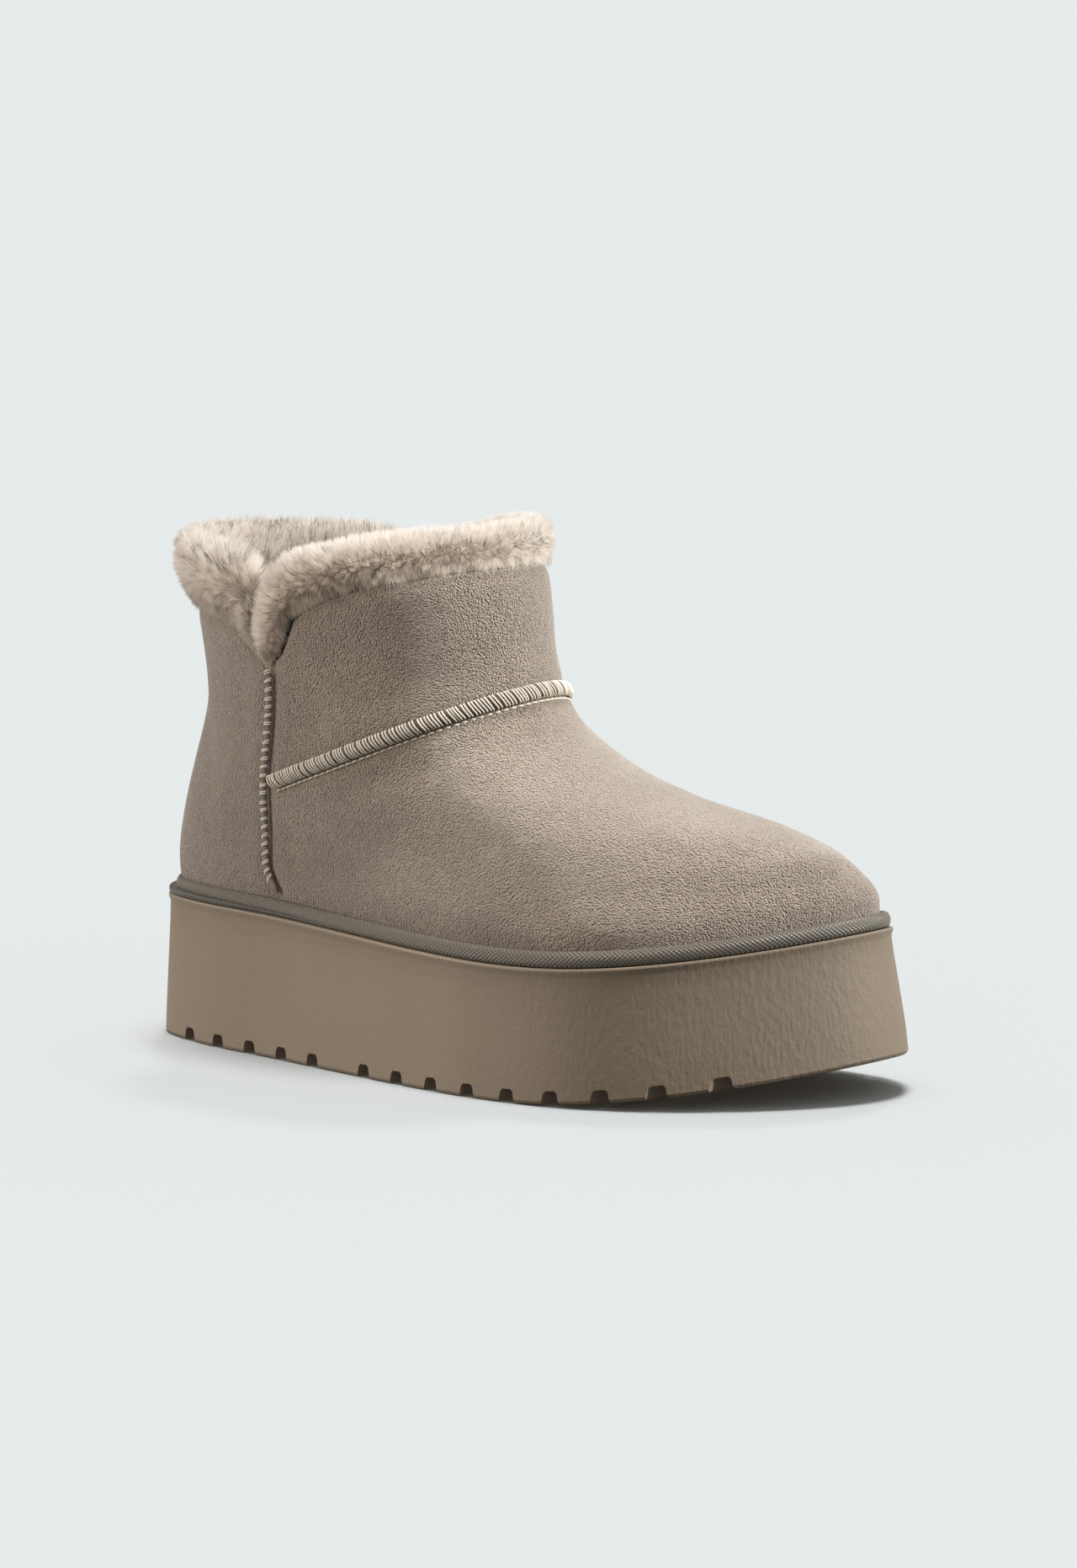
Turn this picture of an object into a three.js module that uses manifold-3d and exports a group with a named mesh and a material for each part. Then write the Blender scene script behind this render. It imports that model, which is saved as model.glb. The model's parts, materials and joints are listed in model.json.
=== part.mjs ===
// A suede platform ankle boot for the right foot, with a fur cuff that parts in a V at each side.
// Millimetres: +X to the toe, +Y to the inner side of the foot, +Z up. The origin is on the floor,
// under the middle of the sole. While it is being worked out, X is counted from the back of the heel.
import * as THREE from "three";
import { mergeVertices } from "three/addons/utils/BufferGeometryUtils.js";
import Module from "manifold-3d";

// The platform sole
const soleLength = 271;
const soleWidth = 110;
const heelHeight = 46.5;
const ballHeight = 42.6;
const toeHeight = 41.4;
const toeSpring = 13;
const heelFlare = 1.2; // how far the foot of the side stands out past its top edge
const toeFlare = 5.2;
const sideWaist = 0.6; // the side draws in this far below its top lip
const lipHeight = 2.2;
const footEdge = 1.2; // the small bevel where the side meets the floor

// The tread: straight grooves across the sole, in a heel group and a forefoot group
const groovePitch = 15.86;
const grooveMouth = 6;
const grooveRoof = 4;
const grooveDepth = 4.4;
const heelGrooves = 5;
const foreGrooves = 9;
const firstHeelGroove = 26;
const firstForeGroove = 115;

// The welt strip round the foot of the upper
const weltWidth = 4.2;
const weltHeight = 5.4;
const weltRim = 1; // platform left bare outside the welt

// The upper: foot and shaft in one
const upperWall = 2.4;
const collarHeight = 115; // above the platform, at the front of the ankle
const collarBackRise = 97.5; // the collar's edge at the back, above the platform
const ankleWidth = 86;
const seamSetback = 0.245; // place of the side seam, as a share of the upper's length

// The V at each side of the collar
const notchDepth = 23.6;
const notchReach = 130; // the length its table is laid out on

// The fur cuff on the collar's edge
const cuffBackHeight = 23.5;
const cuffFrontHeight = 16;
const cuffBulge = 3.6; // outside the suede
const cuffLining = 7.5; // inside the suede
const cuffNotchDepth = 12.5;
const lockLength = 9.5;
const lockRadius = 5.4;
const locksAround = 24;

// The raised seams
const instepSeamWidth = 4.2;
const instepSeamHeight = 2.7;
const sideSeamWidth = 3.2;
const sideSeamHeight = 2;
const sideSeamEnd = 2.2; // it ends this far above the welt
const sideSeamLean = 6.5; // back from the point of the V
const sideSeamSwing = 5.5; // forward again at its foot
const instepSideRise = 43.5; // the instep seam above the platform, at the side seams
const instepFrontRise = 75.5; // and at the front of the ankle

// The insole
const insoleThickness = 5;

// Clearances
const seatGap = 0.3; // between two pieces that rest on each other
const seamGap = 0.5; // under a raised seam
const cuffGap = 0.6; // along the upper, between its edge and the cuff
const insoleGap = 0.6; // between the insole and the upper's wall

// The sole's outline seen from above, from the back of the heel along the outer side to the toe and
// back along the inner side. along is a share of soleLength, side a share of half soleWidth.
const soleOutline = [
  { along: 0, side: 0 },
  { along: 0.03, side: -0.378 },
  { along: 0.126, side: -0.605 },
  { along: 0.254, side: -0.745 },
  { along: 0.385, side: -0.895 },
  { along: 0.507, side: -1.024 },
  { along: 0.619, side: -1.093 },
  { along: 0.73, side: -1.056 },
  { along: 0.832, side: -0.84 },
  { along: 0.923, side: -0.462 },
  { along: 0.984, side: -0.027 },
  { along: 1, side: 0.364 },
  { along: 0.976, side: 0.673 },
  { along: 0.926, side: 0.864 },
  { along: 0.852, side: 0.936 },
  { along: 0.77, side: 0.918 },
  { along: 0.674, side: 0.855 },
  { along: 0.563, side: 0.782 },
  { along: 0.441, side: 0.718 },
  { along: 0.311, side: 0.691 },
  { along: 0.193, side: 0.66 },
  { along: 0.1, side: 0.58 },
  { along: 0.03, side: 0.378 },
];

// The V in the suede and in the fur, seen from the side: ahead of its point, as a share of notchReach,
// and the share of its depth that is left there.
const edgeNotch = [
  { ahead: -0.43, left: 0 },
  { ahead: -0.138, left: 0.37 },
  { ahead: 0, left: 1 },
  { ahead: 0.04, left: 0.87 },
  { ahead: 0.08, left: 0.43 },
  { ahead: 0.11, left: 0.335 },
  { ahead: 0.185, left: 0.2 },
  { ahead: 0.277, left: 0.09 },
  { ahead: 0.48, left: 0 },
];
const cuffNotch = [
  { ahead: -0.16, left: 0 },
  { ahead: -0.08, left: 0.28 },
  { ahead: 0, left: 1 },
  { ahead: 0.03, left: 1 },
  { ahead: 0.11, left: 0.54 },
  { ahead: 0.21, left: 0.33 },
  { ahead: 0.5, left: 0.24 },
  { ahead: 0.58, left: 0 },
];

// The upper's rings, from the foot of the wall to above the collar. back and front are the ends of
// the ring, as shares of the upper's length; backRise and frontRise their heights above the platform,
// as shares of collarHeight. foot scales the sole-shaped outline, oval is a share of ankleWidth, round
// blends from the first to the second, and follow is how much the ring dips with the platform's top.
const rings = [
  { back: 0, front: 1, backRise: 0, frontRise: 0, foot: 1, oval: 1.12, round: 0, follow: 1 },
  { back: -0.005, front: 1.003, backRise: 0.05, frontRise: 0.045, foot: 1.02, oval: 1.12, round: 0, follow: 1 },
  { back: -0.007, front: 1, backRise: 0.11, frontRise: 0.102, foot: 1.02, oval: 1.12, round: 0.03, follow: 1 },
  { back: -0.006, front: 0.985, backRise: 0.175, frontRise: 0.164, foot: 0.99, oval: 1.1, round: 0.15, follow: 0.9 },
  { back: -0.002, front: 0.958, backRise: 0.25, frontRise: 0.2445, foot: 0.94, oval: 1.06, round: 0.42, follow: 0.7 },
  { back: 0.006, front: 0.898, backRise: 0.326, frontRise: 0.318, foot: 0.895, oval: 1.02, round: 0.75, follow: 0.45 },
  { back: 0.017, front: 0.81, backRise: 0.404, frontRise: 0.364, foot: 0.86, oval: 0.99, round: 0.95, follow: 0.25 },
  { back: 0.0295, front: 0.717, backRise: 0.483, frontRise: 0.412, foot: 0.85, oval: 0.965, round: 1, follow: 0.1 },
  { back: 0.039, front: 0.638, backRise: 0.561, frontRise: 0.4865, foot: 0.85, oval: 0.95, round: 1, follow: 0 },
  { back: 0.042, front: 0.583, backRise: 0.639, frontRise: 0.574, foot: 0.85, oval: 0.95, round: 1, follow: 0 },
  { back: 0.0395, front: 0.558, backRise: 0.71, frontRise: 0.661, foot: 0.85, oval: 0.96, round: 1, follow: 0 },
  { back: 0.034, front: 0.549, backRise: 0.785, frontRise: 0.753, foot: 0.85, oval: 0.975, round: 1, follow: 0 },
  { back: 0.028, front: 0.5435, backRise: 0.865, frontRise: 0.858, foot: 0.85, oval: 0.995, round: 1, follow: 0 },
  { back: 0.022, front: 0.536, backRise: 0.935, frontRise: 0.954, foot: 0.85, oval: 1.02, round: 1, follow: 0 },
  { back: 0.016, front: 0.526, backRise: 1.01, frontRise: 1.05, foot: 0.85, oval: 1.03, round: 1, follow: 0 },
  { back: 0.016, front: 0.526, backRise: 1.09, frontRise: 1.146, foot: 0.85, oval: 1.03, round: 1, follow: 0 },
  { back: 0.016, front: 0.526, backRise: 1.17, frontRise: 1.24, foot: 0.85, oval: 1.03, round: 1, follow: 0 },
];

// Resolution of the faceted solids
const outlineSteps = 66;
const columnsBack = 13; // from the heel to a side seam
const columnsFront = 19; // from a side seam to the toe
const upperRows = 17;
const profileSteps = 26;
const seamSteps = 40;
const searchSteps = 26;

const { clamp, lerp } = THREE.MathUtils;
const easeIn = (t) => t * t;
const smooth = (t) => t * t * (3 - 2 * t);

// The platform's outline, moved out along its own normal by outset. u runs once round from 0 to 1.
const outlineCurve = new THREE.CatmullRomCurve3(
  soleOutline.map((p) => new THREE.Vector3(p.along * soleLength, (p.side * soleWidth) / 2, 0)),
  true,
  "catmullrom",
  0.5,
);

function outlinePoint(u, outset) {
  const turn = (u + 1) % 1;
  const step = 0.002;
  const here = outlineCurve.getPoint(turn);
  const before = outlineCurve.getPoint((turn - step + 1) % 1);
  const after = outlineCurve.getPoint((turn + step) % 1);
  const along = after.sub(before).normalize();
  return new THREE.Vector2(here.x + along.y * outset, here.y - along.x * outset);
}

// How far the platform's top edge stands in from its foot, at a place along the sole.
const flareAt = (x) => lerp(heelFlare, toeFlare, easeIn(clamp(x / soleLength, 0, 1)));

// The underside: flat from the heel to the ball, then a soft rise to the toe.
const ballPlace = 0.62;
const underside = (x) => toeSpring * easeIn(clamp((x / soleLength - ballPlace) / (1 - ballPlace), 0, 1));

// The platform's top, which the foot stands on.
const rampStart = 0.16;
const rampEnd = 0.66;
function platformTop(x) {
  const ramp = smooth(clamp((x / soleLength - rampStart) / (rampEnd - rampStart), 0, 1));
  const toe = clamp((x / soleLength - rampEnd) / (1 - rampEnd), 0, 1);
  return underside(x) + lerp(heelHeight, ballHeight, ramp) + (toeHeight - ballHeight) * toe;
}

// The foot of the upper: the platform's top edge, less the bare rim and the welt.
function featherPoint(u, outset = 0) {
  const edge = outlinePoint(u, 0);
  return outlinePoint(u, outset - flareAt(edge.x) - weltRim - weltWidth);
}

// Where the foot of the upper starts and ends.
function findEnds() {
  let heel = { u: 0, x: Infinity };
  let toe = { u: 0, x: -Infinity };
  const tries = 2000;
  for (let i = 0; i < tries; i++) {
    const u = i / tries - 0.25;
    const x = featherPoint(u).x;
    if (x < heel.x) heel = { u, x };
    if (x > toe.x) toe = { u, x };
  }
  return { heel, toe };
}
const ends = findEnds();
const upperLength = ends.toe.x - ends.heel.x;
const seamX = ends.heel.x + seamSetback * upperLength;

// A smooth curve through four neighbouring values, at t between the middle two.
function throughFour(a, b, c, d, t) {
  const slopeB = (c - a) / 2;
  const slopeC = (d - b) / 2;
  const t2 = t * t;
  const t3 = t2 * t;
  return (2 * b - 2 * c + slopeB + slopeC) * t3 + (3 * c - 3 * b - 2 * slopeB - slopeC) * t2 + slopeB * t + b;
}

// The ring at height v, which counts the rows of the table.
function ringAt(v) {
  const last = rings.length - 1;
  const low = clamp(Math.floor(v), 0, last - 1);
  const row = (i) => rings[clamp(i, 0, last)];
  const ring = {};
  for (const key of Object.keys(rings[0]))
    ring[key] = throughFour(row(low - 1)[key], row(low)[key], row(low + 1)[key], row(low + 2)[key], v - low);
  return ring;
}

// The outer face of the upper: u runs round from the heel, v up the rings.
function facePoint(u, v) {
  const ring = ringAt(v);
  const foot = featherPoint(u);
  const share = clamp((foot.x - ends.heel.x) / upperLength, 0, 1);
  const turn = (((u - ends.heel.u) % 1) + 1) % 1;
  const side = turn < ends.toe.u - ends.heel.u ? -1 : 1;
  const bow = Math.sqrt(Math.max(0, 1 - (2 * share - 1) ** 2));
  const x = ends.heel.x + lerp(ring.back, ring.front, share) * upperLength;
  const y = lerp(foot.y * ring.foot, (side * bow * ring.oval * ankleWidth) / 2, clamp(ring.round, 0, 1));
  const rise = lerp(ring.backRise, ring.frontRise, share) * collarHeight;
  return new THREE.Vector3(x, y, heelHeight + rise + ring.follow * (platformTop(x) - heelHeight) + seatGap);
}

function faceNormal(u, v) {
  const du = 0.003;
  const dv = 0.05;
  const round = facePoint(u + du, v).sub(facePoint(u - du, v));
  const up = facePoint(u, v + dv).sub(facePoint(u, Math.max(0, v - dv)));
  return round.cross(up).normalize();
}

// A point set off from the outer face: above 0 outside it, below 0 in the wall and the boot.
const facePointOff = (u, v, off) => facePoint(u, v).addScaledVector(faceNormal(u, v), off);

// The height v at which the face reaches z, up the line u.
function levelAt(u, z) {
  let low = 0;
  let high = rings.length - 1;
  for (let i = 0; i < searchSteps; i++) {
    const middle = (low + high) / 2;
    if (facePoint(u, middle).z < z) low = middle;
    else high = middle;
  }
  return (low + high) / 2;
}

// The place u, v of the face at x and z, on the outer side (-1) or the inner side (1) of the foot.
function placeAt(x, z, side) {
  let low = side < 0 ? ends.heel.u : ends.heel.u + 1;
  let high = ends.toe.u;
  for (let i = 0; i < searchSteps; i++) {
    const middle = (low + high) / 2;
    if (facePoint(middle, levelAt(middle, z)).x < x) low = middle;
    else high = middle;
  }
  const u = (low + high) / 2;
  return { u, v: levelAt(u, z) };
}

// The collar's edge and the cuff's top, as heights over the foot, with their V at the side seams.
const collarBackX = ends.heel.x + ringAt(rings.length - 4).back * upperLength;
const collarFrontX = ends.heel.x + ringAt(rings.length - 4).front * upperLength;
const alongCollar = (x) => clamp((x - collarBackX) / (collarFrontX - collarBackX), 0, 1);

// How much of a V is left at x, by a table.
function leftOf(table, x) {
  const ahead = (x - seamX) / notchReach;
  const i = table.findIndex((row) => row.ahead > ahead);
  if (i <= 0) return 0;
  const [a, b] = [table[i - 1], table[i]];
  return lerp(a.left, b.left, (ahead - a.ahead) / (b.ahead - a.ahead));
}

function edgeHeight(x) {
  const straight = heelHeight + lerp(collarBackRise, collarHeight, alongCollar(x));
  return straight - notchDepth * leftOf(edgeNotch, x);
}

function cuffTop(x) {
  const back = collarBackRise + cuffBackHeight;
  const front = collarHeight + cuffFrontHeight;
  return heelHeight + lerp(back, front, alongCollar(x)) - cuffNotchDepth * leftOf(cuffNotch, x);
}

// The height v at which line u meets a height given over x.
function levelOn(u, heightOver) {
  let v = levelAt(u, heightOver(facePoint(u, rings.length - 4).x));
  for (let i = 0; i < 6; i++) v = levelAt(u, heightOver(facePoint(u, v).x));
  return v;
}

// The lines u of the upper, with one exactly in the point of each V.
const notchZ = heelHeight + lerp(collarBackRise, collarHeight, alongCollar(seamX)) - notchDepth;
const outerSeamU = placeAt(seamX, notchZ, -1).u;
const innerSeamU = placeAt(seamX, notchZ, 1).u;
const columns = [];
for (const [from, to, count] of [
  [ends.heel.u, outerSeamU, columnsBack],
  [outerSeamU, ends.toe.u, columnsFront],
  [ends.toe.u, innerSeamU, columnsFront],
  [innerSeamU, ends.heel.u + 1, columnsBack],
])
  for (let i = 0; i < count; i++) columns.push(lerp(from, to, i / count));

// A closed solid from rings of points that run round it and join end to end.
function closedBand(sections) {
  const count = sections[0].length;
  const positions = sections.flat().flatMap((p) => [p.x, p.y, p.z]);
  const index = [];
  sections.forEach((_, i) => {
    const next = (i + 1) % sections.length;
    for (let j = 0; j < count; j++) {
      const k = (j + 1) % count;
      const [a, b, c, d] = [i * count + j, next * count + j, next * count + k, i * count + k];
      index.push(a, b, c, a, c, d);
    }
  });
  return shapeOf(positions, index);
}

// A closed solid from sections that run from one end to the other, with a flat cap at each end.
function cappedBar(sections) {
  const count = sections[0].length;
  const last = (sections.length - 1) * count;
  const positions = sections.flat().flatMap((p) => [p.x, p.y, p.z]);
  const index = [];
  for (let i = 0; i + 1 < sections.length; i++)
    for (let j = 0; j < count; j++) {
      const k = (j + 1) % count;
      const [a, b, c, d] = [i * count + j, (i + 1) * count + j, (i + 1) * count + k, i * count + k];
      index.push(a, b, c, a, c, d);
    }
  for (let j = 1; j + 1 < count; j++) index.push(0, j, j + 1, last, last + j + 1, last + j);
  return shapeOf(positions, index);
}

function shapeOf(positions, index) {
  const shape = new THREE.BufferGeometry();
  shape.setAttribute("position", new THREE.Float32BufferAttribute(positions, 3));
  shape.setIndex(index);
  return shape;
}

// Joins and cuts, by manifold-3d
const wasm = await Module();
wasm.setup();

function solidOf(shape) {
  const bare = shape.clone();
  bare.deleteAttribute("normal");
  bare.deleteAttribute("uv");
  const merged = mergeVertices(bare, 1e-3);
  const made = new wasm.Manifold(
    new wasm.Mesh({
      numProp: 3,
      vertProperties: merged.attributes.position.array,
      triVerts: new Uint32Array(merged.index.array),
    }),
  );
  return made;
}

function shapeFrom(solid) {
  const mesh = solid.getMesh();
  return shapeOf(Array.from(mesh.vertProperties), Array.from(mesh.triVerts));
}

// The platform sole: its side view pressed through its outline.
function soleSideView() {
  const grooves = [];
  for (let i = 0; i < heelGrooves; i++) grooves.push(firstHeelGroove + i * groovePitch);
  for (let i = 0; i < foreGrooves; i++) grooves.push(firstForeGroove + i * groovePitch);
  const view = new THREE.Shape();
  const reach = soleWidth / 2;
  const at = (i) => (soleLength * i) / profileSteps;
  view.moveTo(-reach, underside(-reach));
  const inGroove = (x) => grooves.some((g) => Math.abs(x - g) < grooveMouth);
  const stops = [];
  for (let i = 1; i <= profileSteps; i++) if (!inGroove(at(i))) stops.push({ x: at(i) });
  for (const g of grooves) stops.push({ x: g, groove: true });
  stops.sort((a, b) => a.x - b.x);
  for (const { x, groove } of stops) {
    if (!groove) {
      view.lineTo(x, underside(x));
      continue;
    }
    const roof = underside(x) + grooveDepth;
    view.lineTo(x - grooveMouth / 2, underside(x - grooveMouth / 2));
    view.lineTo(x - grooveRoof / 2, roof);
    view.lineTo(x + grooveRoof / 2, roof);
    view.lineTo(x + grooveMouth / 2, underside(x + grooveMouth / 2));
  }
  view.lineTo(soleLength + reach, underside(soleLength));
  view.lineTo(soleLength + reach, platformTop(soleLength));
  for (let i = profileSteps; i >= 0; i--) view.lineTo(at(i), platformTop(at(i)));
  view.lineTo(-reach, platformTop(0));
  return view;
}

function pressThrough(view) {
  const depth = 2 * soleWidth;
  const slab = new THREE.ExtrudeGeometry(view, { depth, bevelEnabled: false });
  slab.rotateX(Math.PI / 2);
  slab.translate(0, depth / 2, 0);
  return solidOf(slab);
}

// A stack of outlines, one for each level, closed with a flat face above and below.
function outlineStack(levels, pointAt) {
  const positions = [];
  for (let i = 0; i < levels.length; i++)
    for (let j = 0; j < outlineSteps; j++) {
      const p = pointAt(j / outlineSteps, i);
      positions.push(p.x, p.y, p.z);
    }
  const index = [];
  for (let i = 0; i + 1 < levels.length; i++)
    for (let j = 0; j < outlineSteps; j++) {
      const k = (j + 1) % outlineSteps;
      const [a, b] = [i * outlineSteps + j, i * outlineSteps + k];
      index.push(a, b, b + outlineSteps, a, b + outlineSteps, a + outlineSteps);
    }
  const rim = [];
  for (let j = 0; j < outlineSteps; j++) rim.push(outlinePoint(j / outlineSteps, -weltWidth));
  const top = (levels.length - 1) * outlineSteps;
  for (const [a, b, c] of THREE.ShapeUtils.triangulateShape(rim, []))
    index.push(c, b, a, top + a, top + b, top + c);
  return solidOf(shapeOf(positions, index));
}

function platformSole() {
  const spare = 2; // the stack runs past the side view above and below
  const foot = outlinePoint;
  // share is the height up the side; inset is how far it stands in from the sole's outline there
  const levels = [
    { drop: spare, inset: () => footEdge * 2 },
    { drop: 0, inset: () => footEdge },
    { rise: footEdge, inset: () => 0 },
    { share: 0.4, inset: (flare) => flare * 0.35 + sideWaist * 0.5 },
    { share: 0.8, inset: (flare) => flare * 0.85 + sideWaist },
    { under: lipHeight, inset: (flare) => flare + sideWaist * 0.8 },
    { under: lipHeight / 2, inset: (flare) => flare },
    { over: spare, inset: (flare) => flare },
  ];
  const stack = outlineStack(levels, (u, i) => {
    const level = levels[i];
    const edge = foot(u, 0);
    const p = foot(u, -level.inset(flareAt(edge.x)));
    const [low, high] = [underside(p.x), platformTop(p.x)];
    let z = high + (level.over ?? 0);
    if (level.drop !== undefined) z = low - level.drop;
    if (level.rise !== undefined) z = low + level.rise;
    if (level.share !== undefined) z = lerp(low, high, level.share);
    if (level.under !== undefined) z = high - level.under;
    return new THREE.Vector3(p.x, p.y, z);
  });
  return shapeFrom(stack.intersect(pressThrough(soleSideView())));
}

// The insole lies on the platform, inside the upper's wall.
function insole() {
  const view = new THREE.Shape();
  const at = (i) => (soleLength * i) / profileSteps;
  const low = (x) => platformTop(x) + seatGap;
  view.moveTo(at(0), low(at(0)));
  for (let i = 1; i <= profileSteps; i++) view.lineTo(at(i), low(at(i)));
  for (let i = profileSteps; i >= 0; i--) view.lineTo(at(i), low(at(i)) + insoleThickness);
  const inset = -upperWall - insoleGap;
  const reach = heelHeight + toeSpring + insoleThickness;
  const stack = outlineStack([0, 1], (u, i) => {
    const p = featherPoint(u, inset);
    return new THREE.Vector3(p.x, p.y, i * 2 * reach);
  });
  return shapeFrom(stack.intersect(pressThrough(view)));
}

// The upper: one hollow wall, open underneath and at the collar, with a V in each side.
function upper() {
  const sections = columns.map((u) => {
    const top = levelOn(u, edgeHeight);
    const level = (i) => top * (i / upperRows);
    const outside = [];
    const inside = [];
    for (let i = 0; i <= upperRows; i++) {
      outside.push(facePoint(u, level(i)));
      inside.unshift(facePointOff(u, level(i), -upperWall));
    }
    const foot = inside[inside.length - 1];
    foot.z = platformTop(foot.x) + seatGap;
    return [...outside, ...inside];
  });
  return closedBand(sections);
}

// The welt: a rolled strip that lies on the platform and closes round the foot of the upper.
function welt() {
  const sections = columns.map((u) => {
    const ground = platformTop(featherPoint(u, 0).x) + seatGap;
    const against = (rise) => {
      const p = facePointOff(u, levelAt(u, ground + rise), seatGap);
      return new THREE.Vector3(p.x, p.y, platformTop(p.x) + seatGap + rise);
    };
    const away = (share, rise) => {
      const p = featherPoint(u, seatGap + share * weltWidth);
      return new THREE.Vector3(p.x, p.y, platformTop(p.x) + seatGap + rise * weltHeight);
    };
    return [
      against(0),
      away(1, 0),
      away(1, 0.3),
      away(0.93, 0.62),
      away(0.78, 0.88),
      away(0.5, 1),
      against(weltHeight * 0.94),
    ];
  });
  return closedBand(sections);
}

// The cuff's fur roll over the collar's edge, with locks of fur fused on.
const cuffSection = [
  { up: 0, off: 0.45 },
  { up: 0.1, off: 0.9 },
  { up: 0.4, off: 1 },
  { up: 0.75, off: 0.85 },
  { up: 0.95, off: 0.4 },
  { up: 1, off: -0.25 },
  { up: 0.93, off: -0.7 },
  { up: 0.65, off: -1 },
  { up: 0.25, off: -1 },
  { up: 0, off: -0.8 },
];

function cuffPoint(u, up, off) {
  const low = levelOn(u, (x) => edgeHeight(x) + cuffGap);
  const high = levelOn(u, cuffTop);
  const depth = off < 0 ? off * cuffLining : off * cuffBulge;
  return facePointOff(u, lerp(low, high, up), depth);
}

function furCuff() {
  const sections = columns.map((u) => cuffSection.map((s) => cuffPoint(u, s.up, s.off)));
  let cuff = solidOf(closedBand(sections));
  // rows of locks: where they root on the roll, and how they lean, outwards and upwards
  const rows = [
    { up: 0.3, off: 0.4, lean: -0.1, shift: 0 },
    { up: 0.6, off: 0.35, lean: 0.5, shift: 0.5 },
    { up: 0.8, off: -0.2, lean: 3, shift: 0.2 },
  ];
  const first = outerSeamU;
  for (const row of rows)
    for (let i = 0; i < locksAround; i++) {
      const u = first + (i + 0.3 + row.shift) / locksAround;
      const root = cuffPoint(u, row.up, row.off);
      const out = faceNormal(u, levelOn(u, edgeHeight));
      const lean = new THREE.Vector3(out.x, out.y, row.lean).normalize();
      const low = cuffPoint(u, 0, 0);
      const fit = clamp(cuffPoint(u, 1, 0).distanceTo(low) / cuffBackHeight, 0.4, 1);
      const lock = new THREE.ConeGeometry(lockRadius * fit, lockLength, 5, 1);
      lock.translate(0, lockLength * 0.06, 0);
      lock.applyQuaternion(new THREE.Quaternion().setFromUnitVectors(new THREE.Vector3(0, 1, 0), lean));
      lock.translate(root.x, root.y, root.z);
      cuff = cuff.add(solidOf(lock));
    }
  return shapeFrom(cuff);
}

// A raised seam along a path of places u, v. across says which way its width lies on the face.
const seamSection = [
  { side: -0.5, rise: 0 },
  { side: -0.5, rise: 0.4 },
  { side: -0.26, rise: 0.95 },
  { side: 0.26, rise: 0.95 },
  { side: 0.5, rise: 0.4 },
  { side: 0.5, rise: 0 },
];

function raisedSeam(path, width, height) {
  const place = (p) => facePoint(p.u, p.v);
  const sections = path.map((p, i) => {
    const before = place(path[Math.max(0, i - 1)]);
    const along = place(path[Math.min(path.length - 1, i + 1)]).sub(before).normalize();
    const out = faceNormal(p.u, p.v);
    const sideways = out.clone().cross(along).normalize();
    const step = 0.01;
    const perU = facePoint(p.u + step, p.v).sub(place(p)).divideScalar(step);
    const perV = facePoint(p.u, p.v + step).sub(place(p)).divideScalar(step);
    return seamSection.map((s) => {
      const wanted = sideways.clone().multiplyScalar(s.side * width);
      const uu = perU.dot(perU);
      const uv = perU.dot(perV);
      const vv = perV.dot(perV);
      const [wu, wv] = [wanted.dot(perU), wanted.dot(perV)];
      const det = uu * vv - uv * uv;
      const u = p.u + (wu * vv - wv * uv) / det;
      const v = Math.max(0, p.v + (wv * uu - wu * uv) / det);
      return facePointOff(u, v, seamGap + s.rise * height);
    });
  });
  return cappedBar(sections);
}

// The side seam drops from the point of the V to the welt. t runs from 0 to 1 down it.
function sideSeamAt(t) {
  const lean = sideSeamLean * smooth(clamp(t / 0.75, 0, 1));
  const x = seamX - lean + sideSeamSwing * easeIn(clamp((t - 0.86) / 0.14, 0, 1));
  return { x, z: lerp(notchZ - 1, platformTop(x) + weltHeight + sideSeamEnd, t) };
}

function sideSeamPath(side) {
  const path = [];
  const steps = seamSteps / 2;
  for (let i = 0; i <= steps; i++) {
    const { x, z } = sideSeamAt(i / steps);
    path.push(placeAt(x, z, side));
  }
  return path;
}

// The instep seam climbs from one side seam over the front of the ankle to the other.
function instepSeamPath() {
  const drop = notchZ - heelHeight - instepSideRise;
  const start = sideSeamAt(drop / (notchZ - heelHeight - weltHeight)).x + sideSeamWidth + seamGap;
  const frontX = facePoint(ends.toe.u, levelAt(ends.toe.u, heelHeight + instepFrontRise)).x;
  const height = (x) => {
    const t = clamp((x - start) / (frontX - start), 0, 1);
    return heelHeight + lerp(instepSideRise, instepFrontRise, 0.88 * t + 0.12 * t * t);
  };
  const from = placeAt(start, height(start), -1).u;
  const to = placeAt(start, height(start), 1).u;
  const path = [];
  for (let i = 0; i <= seamSteps; i++) {
    const u = lerp(from, to, i / seamSteps);
    path.push({ u, v: levelOn(u, height) });
  }
  return path;
}

// Materials
const suede = new THREE.MeshStandardMaterial({ color: 0xa39384, roughness: 0.95, metalness: 0 });
const fur = new THREE.MeshStandardMaterial({ color: 0xcbb8a6, roughness: 1, metalness: 0 });
const foam = new THREE.MeshStandardMaterial({ color: 0x8a7a69, roughness: 0.8, metalness: 0 });
const strip = new THREE.MeshStandardMaterial({ color: 0x7f796c, roughness: 0.7, metalness: 0 });
const thread = new THREE.MeshStandardMaterial({ color: 0xb3a592, roughness: 0.9, metalness: 0 });
const fleece = new THREE.MeshStandardMaterial({ color: 0xc4b2a0, roughness: 1, metalness: 0 });

const boot = new THREE.Group();

function put(name, shape, material) {
  const mesh = new THREE.Mesh(shape, material);
  mesh.name = name;
  boot.add(mesh);
}

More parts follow.
